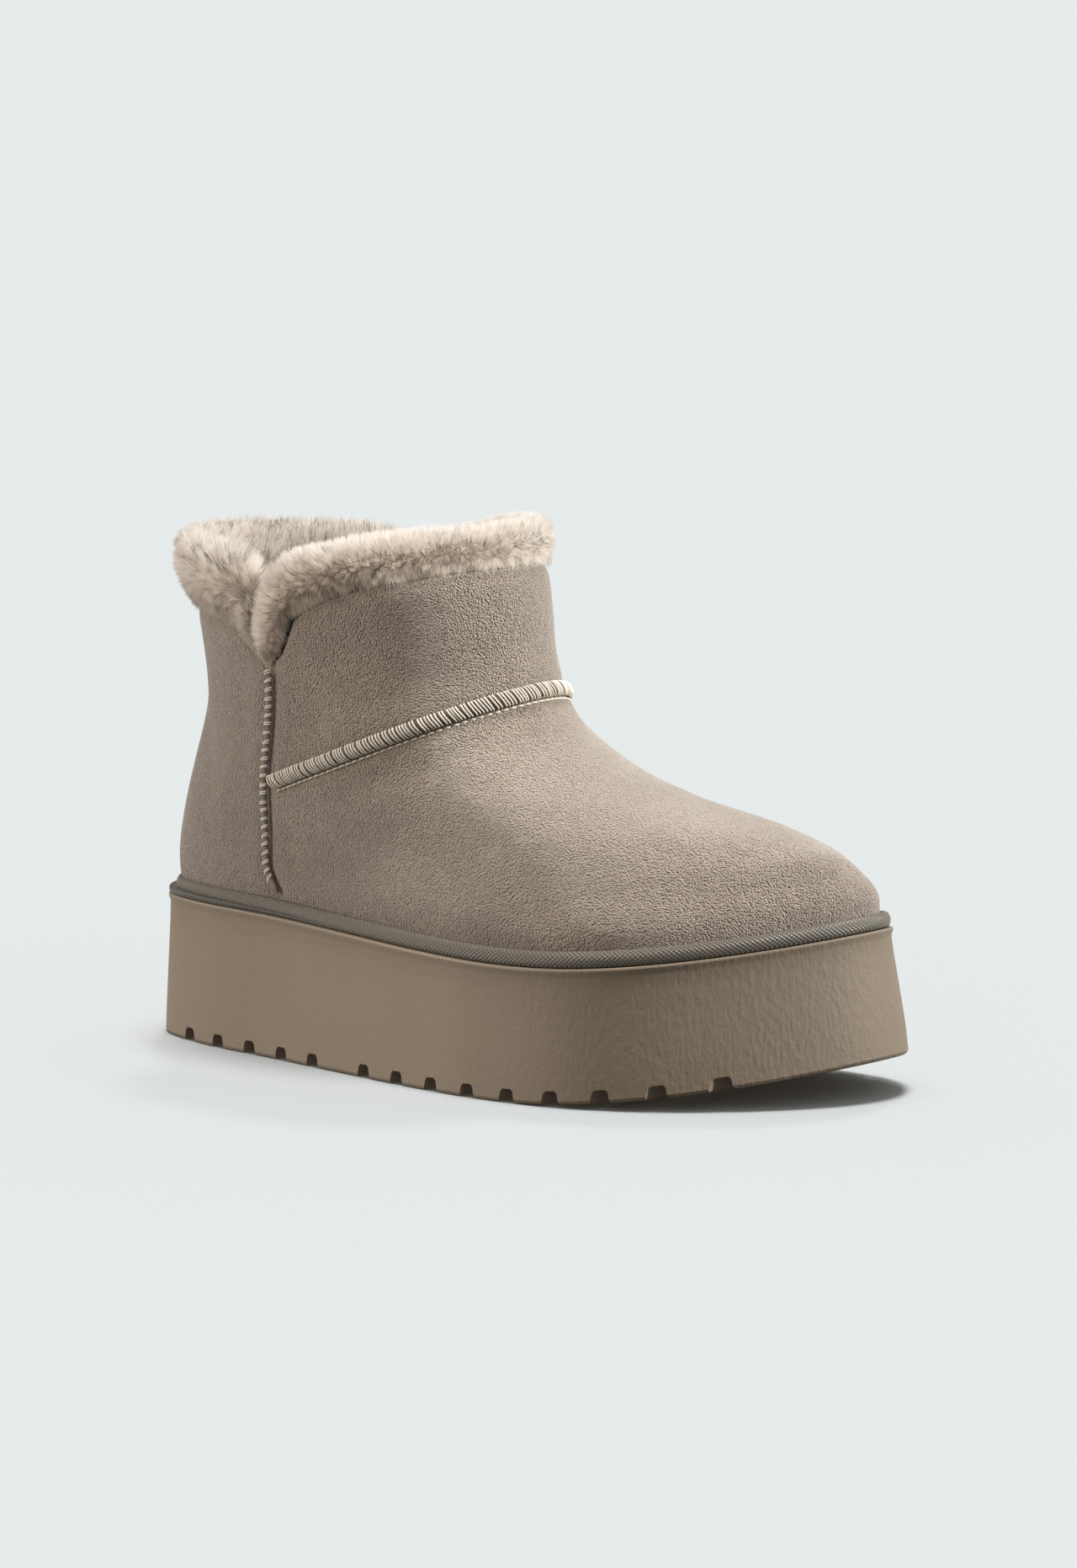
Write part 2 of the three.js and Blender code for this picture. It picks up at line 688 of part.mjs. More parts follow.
put("platform_sole", platformSole(), foam);
put("welt", welt(), strip);
put("upper", upper(), suede);
put("insole", insole(), fleece);
put("fur_cuff", furCuff(), fur);
put("instep_seam", raisedSeam(instepSeamPath(), instepSeamWidth, instepSeamHeight), thread);
put("side_seam_outer", raisedSeam(sideSeamPath(-1), sideSeamWidth, sideSeamHeight), thread);
put("side_seam_inner", raisedSeam(sideSeamPath(1), sideSeamWidth, sideSeamHeight), thread);

// The origin goes under the middle of the sole.
const sizes = new THREE.Box3().setFromObject(boot.children[0]);
boot.position.set(-(sizes.min.x + sizes.max.x) / 2, -(sizes.min.y + sizes.max.y) / 2, 0);

export default boot;
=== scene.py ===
import json
import math

import bmesh
import bpy
import numpy as np
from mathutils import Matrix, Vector
from mathutils.kdtree import KDTree

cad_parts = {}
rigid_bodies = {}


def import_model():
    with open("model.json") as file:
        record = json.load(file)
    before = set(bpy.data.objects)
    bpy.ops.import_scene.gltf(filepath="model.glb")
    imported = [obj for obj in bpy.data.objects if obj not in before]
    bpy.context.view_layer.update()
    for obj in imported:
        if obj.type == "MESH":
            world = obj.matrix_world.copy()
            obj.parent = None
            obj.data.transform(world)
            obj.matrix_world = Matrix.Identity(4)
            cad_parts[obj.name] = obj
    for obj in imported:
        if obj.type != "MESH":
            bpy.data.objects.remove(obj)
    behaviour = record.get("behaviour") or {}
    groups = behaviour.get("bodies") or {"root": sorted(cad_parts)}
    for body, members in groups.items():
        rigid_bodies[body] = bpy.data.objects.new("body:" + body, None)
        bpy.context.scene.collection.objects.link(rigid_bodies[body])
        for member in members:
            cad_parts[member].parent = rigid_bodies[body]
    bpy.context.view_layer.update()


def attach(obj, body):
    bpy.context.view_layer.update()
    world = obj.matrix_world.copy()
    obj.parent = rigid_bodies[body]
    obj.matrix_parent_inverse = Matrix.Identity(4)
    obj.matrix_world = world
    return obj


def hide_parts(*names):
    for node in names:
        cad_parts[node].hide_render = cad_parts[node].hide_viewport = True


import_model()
print("frame loaded")

# Sizes are in millimetres here, counted from the back of the heel, and become metres in toFrame
shift = np.array([-135.512, 4.343, 0.0])

sole = {
    "length": 271,
    "width": 110,
    "heel": 46.5,
    "ball": 42.6,
    "toe": 41.4,
    "spring": 13,
    "heelFlare": 1.2,
    "toeFlare": 5.2,
    "rampStart": 0.16,
    "rampEnd": 0.66,
    "ballPlace": 0.62,
    "weltWidth": 4.2,
    "weltHeight": 5.4,
    "weltRim": 1.0,
    "heelGrooves": (26, 5),  # where the first one is, and how many
    "foreGrooves": (115, 9),
    "groovePitch": 15.86,
    "mouth": 6.0,
    "roof": 4.0,
    "depth": 4.4,
}

# along is a share of the length, side a share of half the width
outlineTable = np.array([
    (0, 0), (0.03, -0.378), (0.126, -0.605), (0.254, -0.745), (0.385, -0.895), (0.507, -1.024),
    (0.619, -1.093), (0.73, -1.056), (0.832, -0.84), (0.923, -0.462), (0.984, -0.027), (1, 0.364),
    (0.976, 0.673), (0.926, 0.864), (0.852, 0.936), (0.77, 0.918), (0.674, 0.855), (0.563, 0.782),
    (0.441, 0.718), (0.311, 0.691), (0.193, 0.66), (0.1, 0.58), (0.03, 0.378),
]) * [sole["length"], sole["width"] / 2]

# the rings of the upper: back, front, backRise, frontRise, foot, oval, round, follow
ringTable = np.array([
    (0, 1, 0, 0, 1, 1.12, 0, 1),
    (-0.005, 1.003, 0.05, 0.045, 1.02, 1.12, 0, 1),
    (-0.007, 1, 0.11, 0.102, 1.02, 1.12, 0.03, 1),
    (-0.006, 0.985, 0.175, 0.164, 0.99, 1.1, 0.15, 0.9),
    (-0.002, 0.958, 0.25, 0.2445, 0.94, 1.06, 0.42, 0.7),
    (0.006, 0.898, 0.326, 0.318, 0.895, 1.02, 0.75, 0.45),
    (0.017, 0.81, 0.404, 0.364, 0.86, 0.99, 0.95, 0.25),
    (0.0295, 0.717, 0.483, 0.412, 0.85, 0.965, 1, 0.1),
    (0.039, 0.638, 0.561, 0.4865, 0.85, 0.95, 1, 0),
    (0.042, 0.583, 0.639, 0.574, 0.85, 0.95, 1, 0),
    (0.0395, 0.558, 0.71, 0.661, 0.85, 0.96, 1, 0),
    (0.034, 0.549, 0.785, 0.753, 0.85, 0.975, 1, 0),
    (0.028, 0.5435, 0.865, 0.858, 0.85, 0.995, 1, 0),
    (0.022, 0.536, 0.935, 0.954, 0.85, 1.02, 1, 0),
    (0.016, 0.526, 1.01, 1.05, 0.85, 1.03, 1, 0),
    (0.016, 0.526, 1.09, 1.146, 0.85, 1.03, 1, 0),
    (0.016, 0.526, 1.17, 1.24, 0.85, 1.03, 1, 0),
])

upperSizes = {
    "wall": 2.4,
    "collar": 115,
    "collarBack": 97.5,
    "ankle": 86,
    "seamSetback": 0.245,
    "notchDepth": 23.6,
    "notchReach": 130,
    "gap": 0.3,
}
notchTable = np.array([
    (-0.43, 0), (-0.138, 0.37), (0, 1), (0.04, 0.87), (0.08, 0.43), (0.11, 0.335), (0.185, 0.2),
    (0.277, 0.09), (0.48, 0),
])


def ease(t):
    t = np.clip(t, 0, 1)
    return t * t * (3 - 2 * t)


def mix(a, b, t):
    return a + (b - a) * t


def unit(vectors):
    return vectors / np.maximum(np.linalg.norm(vectors, axis=-1, keepdims=True), 1e-9)


def fromTable(table, x):
    return np.interp(x, table[:, 0], table[:, 1])


# How far along a line each of its points lies
def distances(points):
    return np.concatenate([[0], np.cumsum(np.linalg.norm(np.diff(points, axis=0), axis=1))])


# A smooth curve from b to c, with a before and d after them
def between(a, b, c, d, t):
    slopeB, slopeC = (c - a) / 2, (d - b) / 2
    return (2 * b - 2 * c + slopeB + slopeC) * t**3 + (3 * c - 3 * b - 2 * slopeB - slopeC) * t**2 + slopeB * t + b


# A closed curve through the outline's points
def curveAt(u):
    count = len(outlineTable)
    place = (np.asarray(u, float) % 1) * count
    low = np.floor(place).astype(int)
    return between(*(outlineTable[(low + k) % count] for k in (-1, 0, 1, 2)), (place - low)[..., None])


def outlinePoint(u, outset=0.0):
    u = np.asarray(u, float)
    along = unit(curveAt(u + 0.002) - curveAt(u - 0.002))
    side = np.stack([along[..., 1], -along[..., 0]], -1)
    return curveAt(u) + side * np.asarray(outset, float)[..., None]


def flareAt(x):
    return mix(sole["heelFlare"], sole["toeFlare"], np.clip(x / sole["length"], 0, 1) ** 2)


def underside(x):
    t = np.clip((x / sole["length"] - sole["ballPlace"]) / (1 - sole["ballPlace"]), 0, 1)
    return sole["spring"] * t**2


def platformTop(x):
    share = x / sole["length"]
    ramp = ease((share - sole["rampStart"]) / (sole["rampEnd"] - sole["rampStart"]))
    toe = np.clip((share - sole["rampEnd"]) / (1 - sole["rampEnd"]), 0, 1)
    return underside(x) + mix(sole["heel"], sole["ball"], ramp) + (sole["toe"] - sole["ball"]) * toe


def featherPoint(u, outset=0.0):
    edge = outlinePoint(u)
    return outlinePoint(u, outset - flareAt(edge[..., 0]) - sole["weltRim"] - sole["weltWidth"])


turns = np.arange(2000) / 2000 - 0.25
footline = featherPoint(turns)[:, 0]
heelU, heelX = turns[footline.argmin()], footline.min()
toeU, toeX = turns[footline.argmax()], footline.max()
upperLength = toeX - heelX
seamX = heelX + upperSizes["seamSetback"] * upperLength
topRing = len(ringTable) - 1


def ringAt(v):
    low = np.clip(np.floor(v).astype(int), 0, topRing - 1)
    return between(*(ringTable[np.clip(low + k, 0, topRing)] for k in (-1, 0, 1, 2)), (v - low)[..., None])


# The outer face of the upper: u runs round it from the heel along the outer side, v up the rings
def facePoint(u, v):
    u, v = np.broadcast_arrays(np.asarray(u, float), np.asarray(v, float))
    ring = ringAt(v)
    back, front, backRise, frontRise, foot, oval, round_, follow = (ring[..., i] for i in range(8))
    base = featherPoint(u)
    share = np.clip((base[..., 0] - heelX) / upperLength, 0, 1)
    side = np.where((u - heelU) % 1 < toeU - heelU, -1, 1)
    bow = np.sqrt(np.maximum(0, 1 - (2 * share - 1) ** 2))
    x = heelX + mix(back, front, share) * upperLength
    y = mix(base[..., 1] * foot, side * bow * oval * upperSizes["ankle"] / 2, np.clip(round_, 0, 1))
    rise = mix(backRise, frontRise, share) * upperSizes["collar"]
    z = sole["heel"] + rise + follow * (platformTop(x) - sole["heel"]) + upperSizes["gap"]
    return np.stack([x, y, z], -1)


def faceNormal(u, v):
    u, v = np.broadcast_arrays(np.asarray(u, float), np.asarray(v, float))
    round_ = facePoint(u + 0.003, v) - facePoint(u - 0.003, v)
    up = facePoint(u, v + 0.05) - facePoint(u, np.maximum(0, v - 0.05))
    return unit(np.cross(round_, up))


def levelAt(u, z):
    u, z = np.broadcast_arrays(np.asarray(u, float), np.asarray(z, float))
    low, high = np.zeros(u.shape), np.full(u.shape, float(topRing))
    for _ in range(24):
        middle = (low + high) / 2
        under = facePoint(u, middle)[..., 2] < z
        low, high = np.where(under, middle, low), np.where(under, high, middle)
    return (low + high) / 2


def levelOn(u, heightOver):
    v = levelAt(u, heightOver(facePoint(u, topRing - 3.0)[..., 0]))
    for _ in range(6):
        v = levelAt(u, heightOver(facePoint(u, v)[..., 0]))
    return v


def placeAt(x, z, side):
    low = np.full(np.shape(x), heelU if side < 0 else heelU + 1)
    high = np.full(np.shape(x), toeU)
    for _ in range(24):
        middle = (low + high) / 2
        behind = facePoint(middle, levelAt(middle, z))[..., 0] < x
        low, high = np.where(behind, middle, low), np.where(behind, high, middle)
    u = (low + high) / 2
    return u, levelAt(u, z)


collarEnds = heelX + ringTable[topRing - 3, :2] * upperLength


def edgeHeight(x):
    along = np.clip((x - collarEnds[0]) / (collarEnds[1] - collarEnds[0]), 0, 1)
    left = fromTable(notchTable, (x - seamX) / upperSizes["notchReach"])
    return sole["heel"] + mix(upperSizes["collarBack"], upperSizes["collar"], along) - upperSizes["notchDepth"] * left


notchZ = float(edgeHeight(np.array(seamX)))
outerSeamU, innerSeamU = (float(placeAt(np.array([seamX]), np.array([notchZ]), side)[0][0]) for side in (-1, 1))


# Mesh helpers
def toFrame(points):
    return ((np.asarray(points, float) + shift) * 0.001).astype(np.float32)


def placed(name, data):
    thing = bpy.data.objects.new(name, data)
    bpy.context.scene.collection.objects.link(thing)
    return thing


# The mesh of an object with its modifiers or its curve worked out
def applied(thing):
    bpy.context.view_layer.update()
    return bpy.data.meshes.new_from_object(thing.evaluated_get(bpy.context.evaluated_depsgraph_get()))


def finishPiece(mesh, name, material):
    mesh.materials.append(material)
    mesh.polygons.foreach_set("use_smooth", [True] * len(mesh.polygons))
    piece = placed(name, mesh)
    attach(piece, "root")
    print("made", name, len(mesh.polygons), "faces")
    return piece


# A grid of rows by columns laid over points; around joins the last column to the first, over the rows
def gridMesh(name, points, around=False, over=False):
    points = np.asarray(points, float)
    if around:
        points = np.concatenate([points, points[:, :1]], 1)
    if over:
        points = np.concatenate([points, points[:1]], 0)
    rows, columns = points.shape[:2]
    bm = bmesh.new()
    bm.loops.layers.uv.new("map")
    bmesh.ops.create_grid(bm, x_segments=columns - 1, y_segments=rows - 1, size=1, calc_uvs=True)
    mesh = bpy.data.meshes.new(name)
    bm.to_mesh(mesh)
    mesh.vertices.foreach_set("co", toFrame(points).ravel())
    bm.clear()
    bm.from_mesh(mesh)
    bmesh.ops.remove_doubles(bm, verts=bm.verts, dist=1e-6)
    bmesh.ops.recalc_face_normals(bm, faces=bm.faces)
    bm.to_mesh(mesh)
    bm.free()
    return mesh


def closeEnds(mesh):
    bm = bmesh.new()
    bm.from_mesh(mesh)
    bmesh.ops.holes_fill(bm, edges=[e for e in bm.edges if e.is_boundary], sides=0)
    bmesh.ops.recalc_face_normals(bm, faces=bm.faces)
    bm.to_mesh(mesh)
    bm.free()


# Colours are sRGB hex values
def linear(code):
    parts = [int(code[i:i + 2], 16) / 255 for i in (1, 3, 5)]
    return [c / 12.92 if c <= 0.04045 else ((c + 0.055) / 1.055) ** 2.4 for c in parts] + [1.0]


def newMaterial(name, values):
    material = bpy.data.materials.new(name)
    material.use_nodes = True
    shader = material.node_tree.nodes["Principled BSDF"]
    for socket, value in {"IOR": 1.5, **values}.items():
        shader.inputs[socket].default_value = value
    return material, shader


def addNode(material, kind, links=None, **settings):
    node = material.node_tree.nodes.new(kind)
    for key, value in settings.items():
        if key.startswith("in_"):
            name = key[3:].replace("_", " ")
            node.inputs[int(name) if name.isdigit() else name].default_value = value
        else:
            setattr(node, key, value)
    for name, source in (links or {}).items():
        material.node_tree.links.new(source, node.inputs[name])
    return node


# A sum of sockets and numbers
def combine(material, operation, *terms):
    node = addNode(material, "ShaderNodeMath", operation=operation)
    for i, term in enumerate(terms):
        if isinstance(term, (int, float)):
            node.inputs[i].default_value = term
        else:
            material.node_tree.links.new(term, node.inputs[i])
    return node.outputs[0]


def noise(material, place, scale, detail, roughness=0.5):
    return addNode(material, "ShaderNodeTexNoise", {"Vector": place}, in_Scale=scale, in_Detail=detail,
                   in_Roughness=roughness).outputs["Fac"]


# A value that goes from one number to another while the source goes from low to high
def ramped(material, source, low, high, start, end):
    return addNode(material, "ShaderNodeMapRange", {"Value": source}, in_1=low, in_2=high, in_3=start,
                   in_4=end).outputs[0]


def bump(material, height, strength, distance, under=None, invert=False):
    links = {"Height": height} if under is None else {"Height": height, "Normal": under}
    return addNode(material, "ShaderNodeBump", links, invert=invert, in_Strength=strength,
                   in_Distance=distance).outputs["Normal"]


# Colours the shader by a tone from 0 to 1 and gives it its bumps
def coat(material, shader, tone, stops, normal=None):
    ramp = addNode(material, "ShaderNodeValToRGB", {"Fac": tone})
    while len(ramp.color_ramp.elements) < len(stops):
        ramp.color_ramp.elements.new(0.5)
    for element, (place, code) in zip(ramp.color_ramp.elements, stops):
        element.position = place
        element.color = linear(code)
    material.node_tree.links.new(ramp.outputs["Color"], shader.inputs["Base Color"])
    if normal is not None:
        material.node_tree.links.new(normal, shader.inputs["Normal"])
    return material


# Suede: split hide with a raised nap. The nap stands in grains of about 0.6 mm that catch the light.
# Its colour is painted lighter up the shaft and darker low on the foot, a painted highlight and shade.
def suedeMaterial():
    material, shader = newMaterial("napped suede", {
        "Roughness": 0.47, "IOR": 1.45, "Sheen Weight": 0.7, "Sheen Roughness": 0.4,
        "Sheen Tint": (1.0, 0.94, 0.88, 1), "Specular IOR Level": 0.6,
    })
    place = addNode(material, "ShaderNodeTexCoord").outputs["Object"]
    height = addNode(material, "ShaderNodeSeparateXYZ", {0: place}).outputs["Z"]
    grain = noise(material, place, 1500, 1)
    pebble = addNode(material, "ShaderNodeTexVoronoi", {"Vector": place}, in_Scale=1600).outputs["Distance"]
    tone = combine(material, "MULTIPLY", noise(material, place, 32, 3, 0.55), 0.35)
    tone = combine(material, "MULTIPLY_ADD", noise(material, place, 260, 2, 0.6), 0.2, tone)
    tone = combine(material, "MULTIPLY_ADD", grain, 0.45, tone)
    tone = combine(material, "ADD", tone, combine(material, "MULTIPLY_ADD", pebble, -0.5, 0.22))
    # painted highlight and shade: the colour goes lighter up the shaft and darker low on the foot
    tone = combine(material, "ADD", tone, ramped(material, height, 0.05, 0.13, -0.03, 0.08))
    normal = bump(material, grain, 0.35, 0.0004, bump(material, pebble, 1.0, 0.00105, invert=True))
    return coat(material, shader, tone, [(0.36, "#8f7c6b"), (0.5, "#a69380"), (0.64, "#bdab97")], normal)


# Sheepskin pile: matt fibres, pale at the tips and darker down by the skin, partly the fibre's own colour and partly
# painted shade deep in the pile.
# The map's v runs along a hair from root to tip, u is a random number for each hair.
def pileMaterial(name, root, middle, tip):
    material, shader = newMaterial(name, {
        "Roughness": 0.85, "IOR": 1.45, "Sheen Weight": 0.4, "Sheen Roughness": 0.6, "Specular IOR Level": 0.15,
    })
    coords = addNode(material, "ShaderNodeTexCoord")
    parts = addNode(material, "ShaderNodeSeparateXYZ", {0: coords.outputs["UV"]})
    spread = combine(material, "MULTIPLY_ADD", parts.outputs["X"], 0.5, -0.25)
    lift = combine(material, "MULTIPLY_ADD", noise(material, coords.outputs["Object"], 150, 2), 0.3, -0.15)
    # dark root to pale tip: partly the fibre's own colour, partly painted shade deep in the pile
    tone = combine(material, "ADD", combine(material, "ADD", parts.outputs["Y"], spread), lift)
    return coat(material, shader, tone, [(0.0, root), (0.45, middle), (1.0, tip)])


# Moulded EVA foam: a smooth matt skin with a faint leather grain of about 1.1 mm from the mould,
# stronger toward the toe. Its colour is painted darker toward the toe, a painted shade.
def foamMaterial():
    material, shader = newMaterial("moulded foam", {"Roughness": 0.62, "IOR": 1.48, "Specular IOR Level": 0.25})
    place = addNode(material, "ShaderNodeTexCoord").outputs["Object"]
    along = addNode(material, "ShaderNodeSeparateXYZ", {0: place}).outputs["X"]
    # back is painted shade: the tone goes from light behind the midfoot to dark at the toe; front makes the grain's
    # folds stronger toward the toe
    back, front = (ramped(material, along, 0.01, 0.12, *ends) for ends in ((0.7, 0.0), (0.3, 1.6)))
    tone = combine(material, "MULTIPLY_ADD", noise(material, place, 30, 3), 0.3, back)
    stretched = addNode(material, "ShaderNodeMapping", {"Vector": place}, in_Scale=(1.0, 1.0, 0.4)).outputs[0]
    folds = combine(material, "MULTIPLY", noise(material, stretched, 650, 1), front)
    grain = bump(material, noise(material, place, 900, 3, 0.6), 0.3, 0.0004)
    normal = bump(material, folds, 0.35, 0.0005, grain)
    return coat(material, shader, tone, [(0.1, "#7c6e5d"), (0.9, "#918270")], normal)


# The welt strip: rubber pressed with a diamond check, or with ribs on its flange. Real rows are about 0.75 mm apart;
# these are about 1 mm apart so that they show, and a diamond is about 1.6 mm long. The map's u runs once round the
# shoe and v once round the strip.
checked = {"round": 610, "length": 1.6, "across": 9}


def weltMaterial(name, diamonds, dark, light):
    material, shader = newMaterial(name, {"Roughness": 0.38})
    coords = addNode(material, "ShaderNodeTexCoord")
    parts = addNode(material, "ShaderNodeSeparateXYZ", {0: coords.outputs["UV"]})
    waves = []
    for sign in (1, -1):
        across = sign * 2 * math.pi * (checked["across"] if diamonds else 0)
        slant = combine(material, "MULTIPLY", parts.outputs["Y"], across)
        rounds = 2 * math.pi * checked["round"] / checked["length"]
        waves.append(combine(material, "SINE", combine(material, "MULTIPLY_ADD", parts.outputs["X"], rounds, slant)))
    level = combine(material, "MULTIPLY_ADD", combine(material, "ADD", *waves), 0.25, 0.5)
    return coat(material, shader, level, [(0.15, dark), (0.75, light)], bump(material, level, 0.7, 0.0004))


# Overlock thread: spun polyester, soft and slightly fuzzy, with a twist too fine to show.
def threadMaterial(name, dark, light):
    material, shader = newMaterial(name, {"Roughness": 0.7, "Sheen Weight": 0.3})
    fibre = noise(material, addNode(material, "ShaderNodeTexCoord").outputs["Object"], 2600, 1)
    return coat(material, shader, fibre, [(0.3, dark), (0.7, light)], bump(material, fibre, 0.4, 0.0002))


suede = suedeMaterial()
pile = pileMaterial("sheepskin pile", "#6e5e4e", "#a99a89", "#bbafa1")
skin = pileMaterial("sheepskin skin", "#84715f", "#8a7765", "#8f7c6a")
foam = foamMaterial()
check = weltMaterial("checked rubber", True, "#443d33", "#766d5f")
ribbed = weltMaterial("ribbed rubber", False, "#3a342b", "#544d42")
seamThreads = {
    "side": threadMaterial("overlock thread in shade", "#c6b9a7", "#e2d6c5"),
    "instep": threadMaterial("overlock thread", "#d8cbb9", "#f4eada"),
}
lockThread = threadMaterial("lockstitch thread", "#e2d2b5", "#f5ead4")
seamCores = {
    "side": threadMaterial("seam edge in shade", "#695b4e", "#84756a"),
    "instep": threadMaterial("folded seam edge", "#43392f", "#5c5044"),
}
print("materials made")


# Seam lines on the upper. The suede dips along a seam and swells a little beside it
seams = {
    "instepWidth": 4.2,
    "instepHeight": 2.7,
    "sideWidth": 3.2,
    "sideHeight": 2.0,
    "instepSide": 43.5,
    "instepFront": 75.5,
    "lean": 6.5,
    "swing": 5.5,
    "end": 2.2,
    "gap": 0.5,
    "dip": 0.9,
    "dipWidth": 1.9,
    "swell": 0.55,
    "swellPlace": 6.5,
    "swellWidth": 4.5,
    "coreStep": 1.2,
}


def sideSeamAt(t):
    x = seamX - seams["lean"] * ease(t / 0.75) + seams["swing"] * np.clip((t - 0.86) / 0.14, 0, 1) ** 2
    return x, mix(notchZ - 1, platformTop(x) + sole["weltHeight"] + seams["end"], t)


def sideSeamPath(side, steps=160):
    return placeAt(*sideSeamAt(np.linspace(0, 1, steps)), side)


def instepSeamPath(steps=500):
    drop = notchZ - sole["heel"] - seams["instepSide"]
    startT = np.array(drop / (notchZ - sole["heel"] - sole["weltHeight"]))
    start = sideSeamAt(startT)[0] + seams["sideWidth"] + seams["gap"]
    frontX = facePoint(toeU, levelAt(toeU, sole["heel"] + seams["instepFront"]))[0]

    def height(x):
        t = np.clip((x - start) / (frontX - start), 0, 1)
        return sole["heel"] + mix(seams["instepSide"], seams["instepFront"], 0.88 * t + 0.12 * t * t)

    ends = [placeAt(np.array([start]), np.array([height(start)]), side)[0][0] for side in (-1, 1)]
    u = np.linspace(ends[0], ends[1], steps)
    return u, levelOn(u, height)


seamPaths = {"outer": sideSeamPath(-1), "inner": sideSeamPath(1), "instep": instepSeamPath()}


def treeOf(points):
    tree = KDTree(len(points))
    for i, p in enumerate(points):
        tree.insert(p, i)
    tree.balance()
    return tree


def nearestOf(tree, points):
    return np.array([tree.find(p)[1] for p in points])


seamTree = treeOf(np.concatenate([facePoint(*path) for path in seamPaths.values()]))

# Soft troughs and ridges in the suede: where, how long, how wide and how deep in mm, and the lie in degrees
creases = [
    {"x": 132, "z": 100, "length": 26, "width": 5, "depth": 0.7, "lie": 25},
    {"x": 118, "z": 88, "length": 30, "width": 7, "depth": -0.5, "lie": 30},
    {"x": 30, "z": 95, "length": 22, "width": 6, "depth": 0.6, "lie": 100},
    {"x": 95, "z": 128, "length": 28, "width": 9, "depth": 0.6, "lie": 80},
    {"x": 190, "z": 72, "length": 34, "width": 9, "depth": 0.45, "lie": 60},
    {"x": 165, "z": 66, "length": 30, "width": 8, "depth": -0.4, "lie": 70},
    {"x": 45, "z": 70, "length": 26, "width": 8, "depth": 0.5, "lie": 15},
]
creaseBend = 0.012


def pressedIn(points):
    off = np.array([seamTree.find(p)[2] for p in points.reshape(-1, 3)]).reshape(points.shape[:-1])
    swell = np.exp(-(((off - seams["swellPlace"]) / seams["swellWidth"]) ** 2))
    rise = -seams["dip"] * np.exp(-((off / seams["dipWidth"]) ** 2)) + seams["swell"] * swell
    for crease in creases:
        lie = math.radians(crease["lie"])
        dx, dz = points[..., 0] - crease["x"], points[..., 2] - crease["z"]
        along = dx * math.cos(lie) + dz * math.sin(lie)
        across = -dx * math.sin(lie) + dz * math.cos(lie) - creaseBend * along**2
        rise -= crease["depth"] * np.exp(-((along / crease["length"]) ** 2) - (across / crease["width"]) ** 2)
    return rise


# The suede shell, a closed wall: up the outside, over the edge and down the inside. Its edge is drawn in by the
# tuck, under the fur.
shell = {"back": 70, "front": 150, "rows": 116, "insideRows": 16, "tuck": 1.1, "tuckHeight": 2.4}


def shellColumns():
    stops = [(heelU, outerSeamU, shell["back"]), (outerSeamU, toeU, shell["front"]),
             (toeU, innerSeamU, shell["front"]), (innerSeamU, heelU + 1, shell["back"])]
    return np.concatenate([np.linspace(a, b, n, endpoint=False) for a, b, n in stops])


def makeShell():
    u = shellColumns()
    top = levelOn(u, edgeHeight)
    share = np.linspace(0, 1, shell["rows"])[:, None]
    outside = facePoint(u[None], top[None] * share)
    normal = faceNormal(u[None], top[None] * share)
    tuckShare = np.exp(-(((outside[-1:, :, 2] - outside[..., 2]) / shell["tuckHeight"]) ** 2))
    outside = outside + normal * (pressedIn(outside) - shell["tuck"] * tuckShare)[..., None]
    rim = [outside[-1] + normal[-1] * share * upperSizes["wall"] + [0, 0, 0.25] for share in (-0.2, -0.4)]
    down = np.linspace(1, 0, shell["insideRows"])[:, None]
    inside = facePoint(u[None], top[None] * down) - faceNormal(u[None], top[None] * down) * upperSizes["wall"]
    inside[-1, :, 2] = platformTop(inside[-1, :, 0]) + upperSizes["gap"]
    points = np.concatenate([outside, np.stack(rim), inside])
    piece = finishPiece(gridMesh("suede_upper", points, around=True, over=True), "suede_upper", suede)
    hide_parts("upper")


makeShell()


# Seams: a rounded core under slanting loops of thread
def seamFrame(path):
    points, out = facePoint(*path), faceNormal(*path)
    across = np.cross(out, unit(np.gradient(points, axis=0)))
    return {"point": points, "out": out, "across": across, "length": distances(points)}


def seamPoint(line, place, side, rise):
    at = lambda key: np.stack([np.interp(place, line["length"], line[key][:, i]) for i in range(3)], -1)
    return at("point") + at("across") * np.asarray(side)[..., None] + at("out") * np.asarray(rise)[..., None]


def seamCorePiece(name, line, width, height, material, nodeName):
    total = line["length"][-1]
    place = np.linspace(0, total, int(total / seams["coreStep"]))
    end = np.sqrt(np.clip(np.minimum(place, total - place) / seams["coreStep"], 0.01, 1))
    angles = np.linspace(0, 2 * math.pi, 14, endpoint=False)
    rows = []
    for angle in angles:
        side = math.cos(angle) * width / 2 * end
        rise = 0.15 + height * (0.45 + 0.5 * math.sin(angle) * end)
        rows.append(seamPoint(line, place, side, rise))
    piece = finishPiece(gridMesh(name, np.stack(rows), over=True), name, material)
    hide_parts(nodeName)


def threadPiece(name, strands, radius, material):
    curve = bpy.data.curves.new(name, "CURVE")
    curve.dimensions = "3D"
    curve.bevel_depth = radius * 0.001
    curve.bevel_resolution = 1
    curve.use_fill_caps = True
    for strand in strands:
        spline = curve.splines.new("POLY")
        spline.points.add(len(strand) - 1)
        spline.points.foreach_set("co", np.concatenate([toFrame(strand), np.ones((len(strand), 1))], 1).ravel())
    holder = placed(name + "_curve", curve)
    mesh = applied(holder)
    bpy.data.objects.remove(holder)
    mesh.name = name
    mesh.materials.clear()
    return finishPiece(mesh, name, material)


stitches = {
    "instep": {"pitch": 2.4, "strands": 2, "spread": 1.05, "radius": 0.3, "turn": 1.12, "slant": 0.5, "curl": 1.1,
               "foot": 0.55},
    "side": {"pitch": 2.9, "strands": 2, "spread": 0.6, "radius": 0.31, "turn": 0.85, "slant": 0.95, "curl": 0.1,
             "foot": 0.25},
    "dashPitch": 2.75,
    "dashLength": 2.35,
    "dashRadius": 0.33,
}


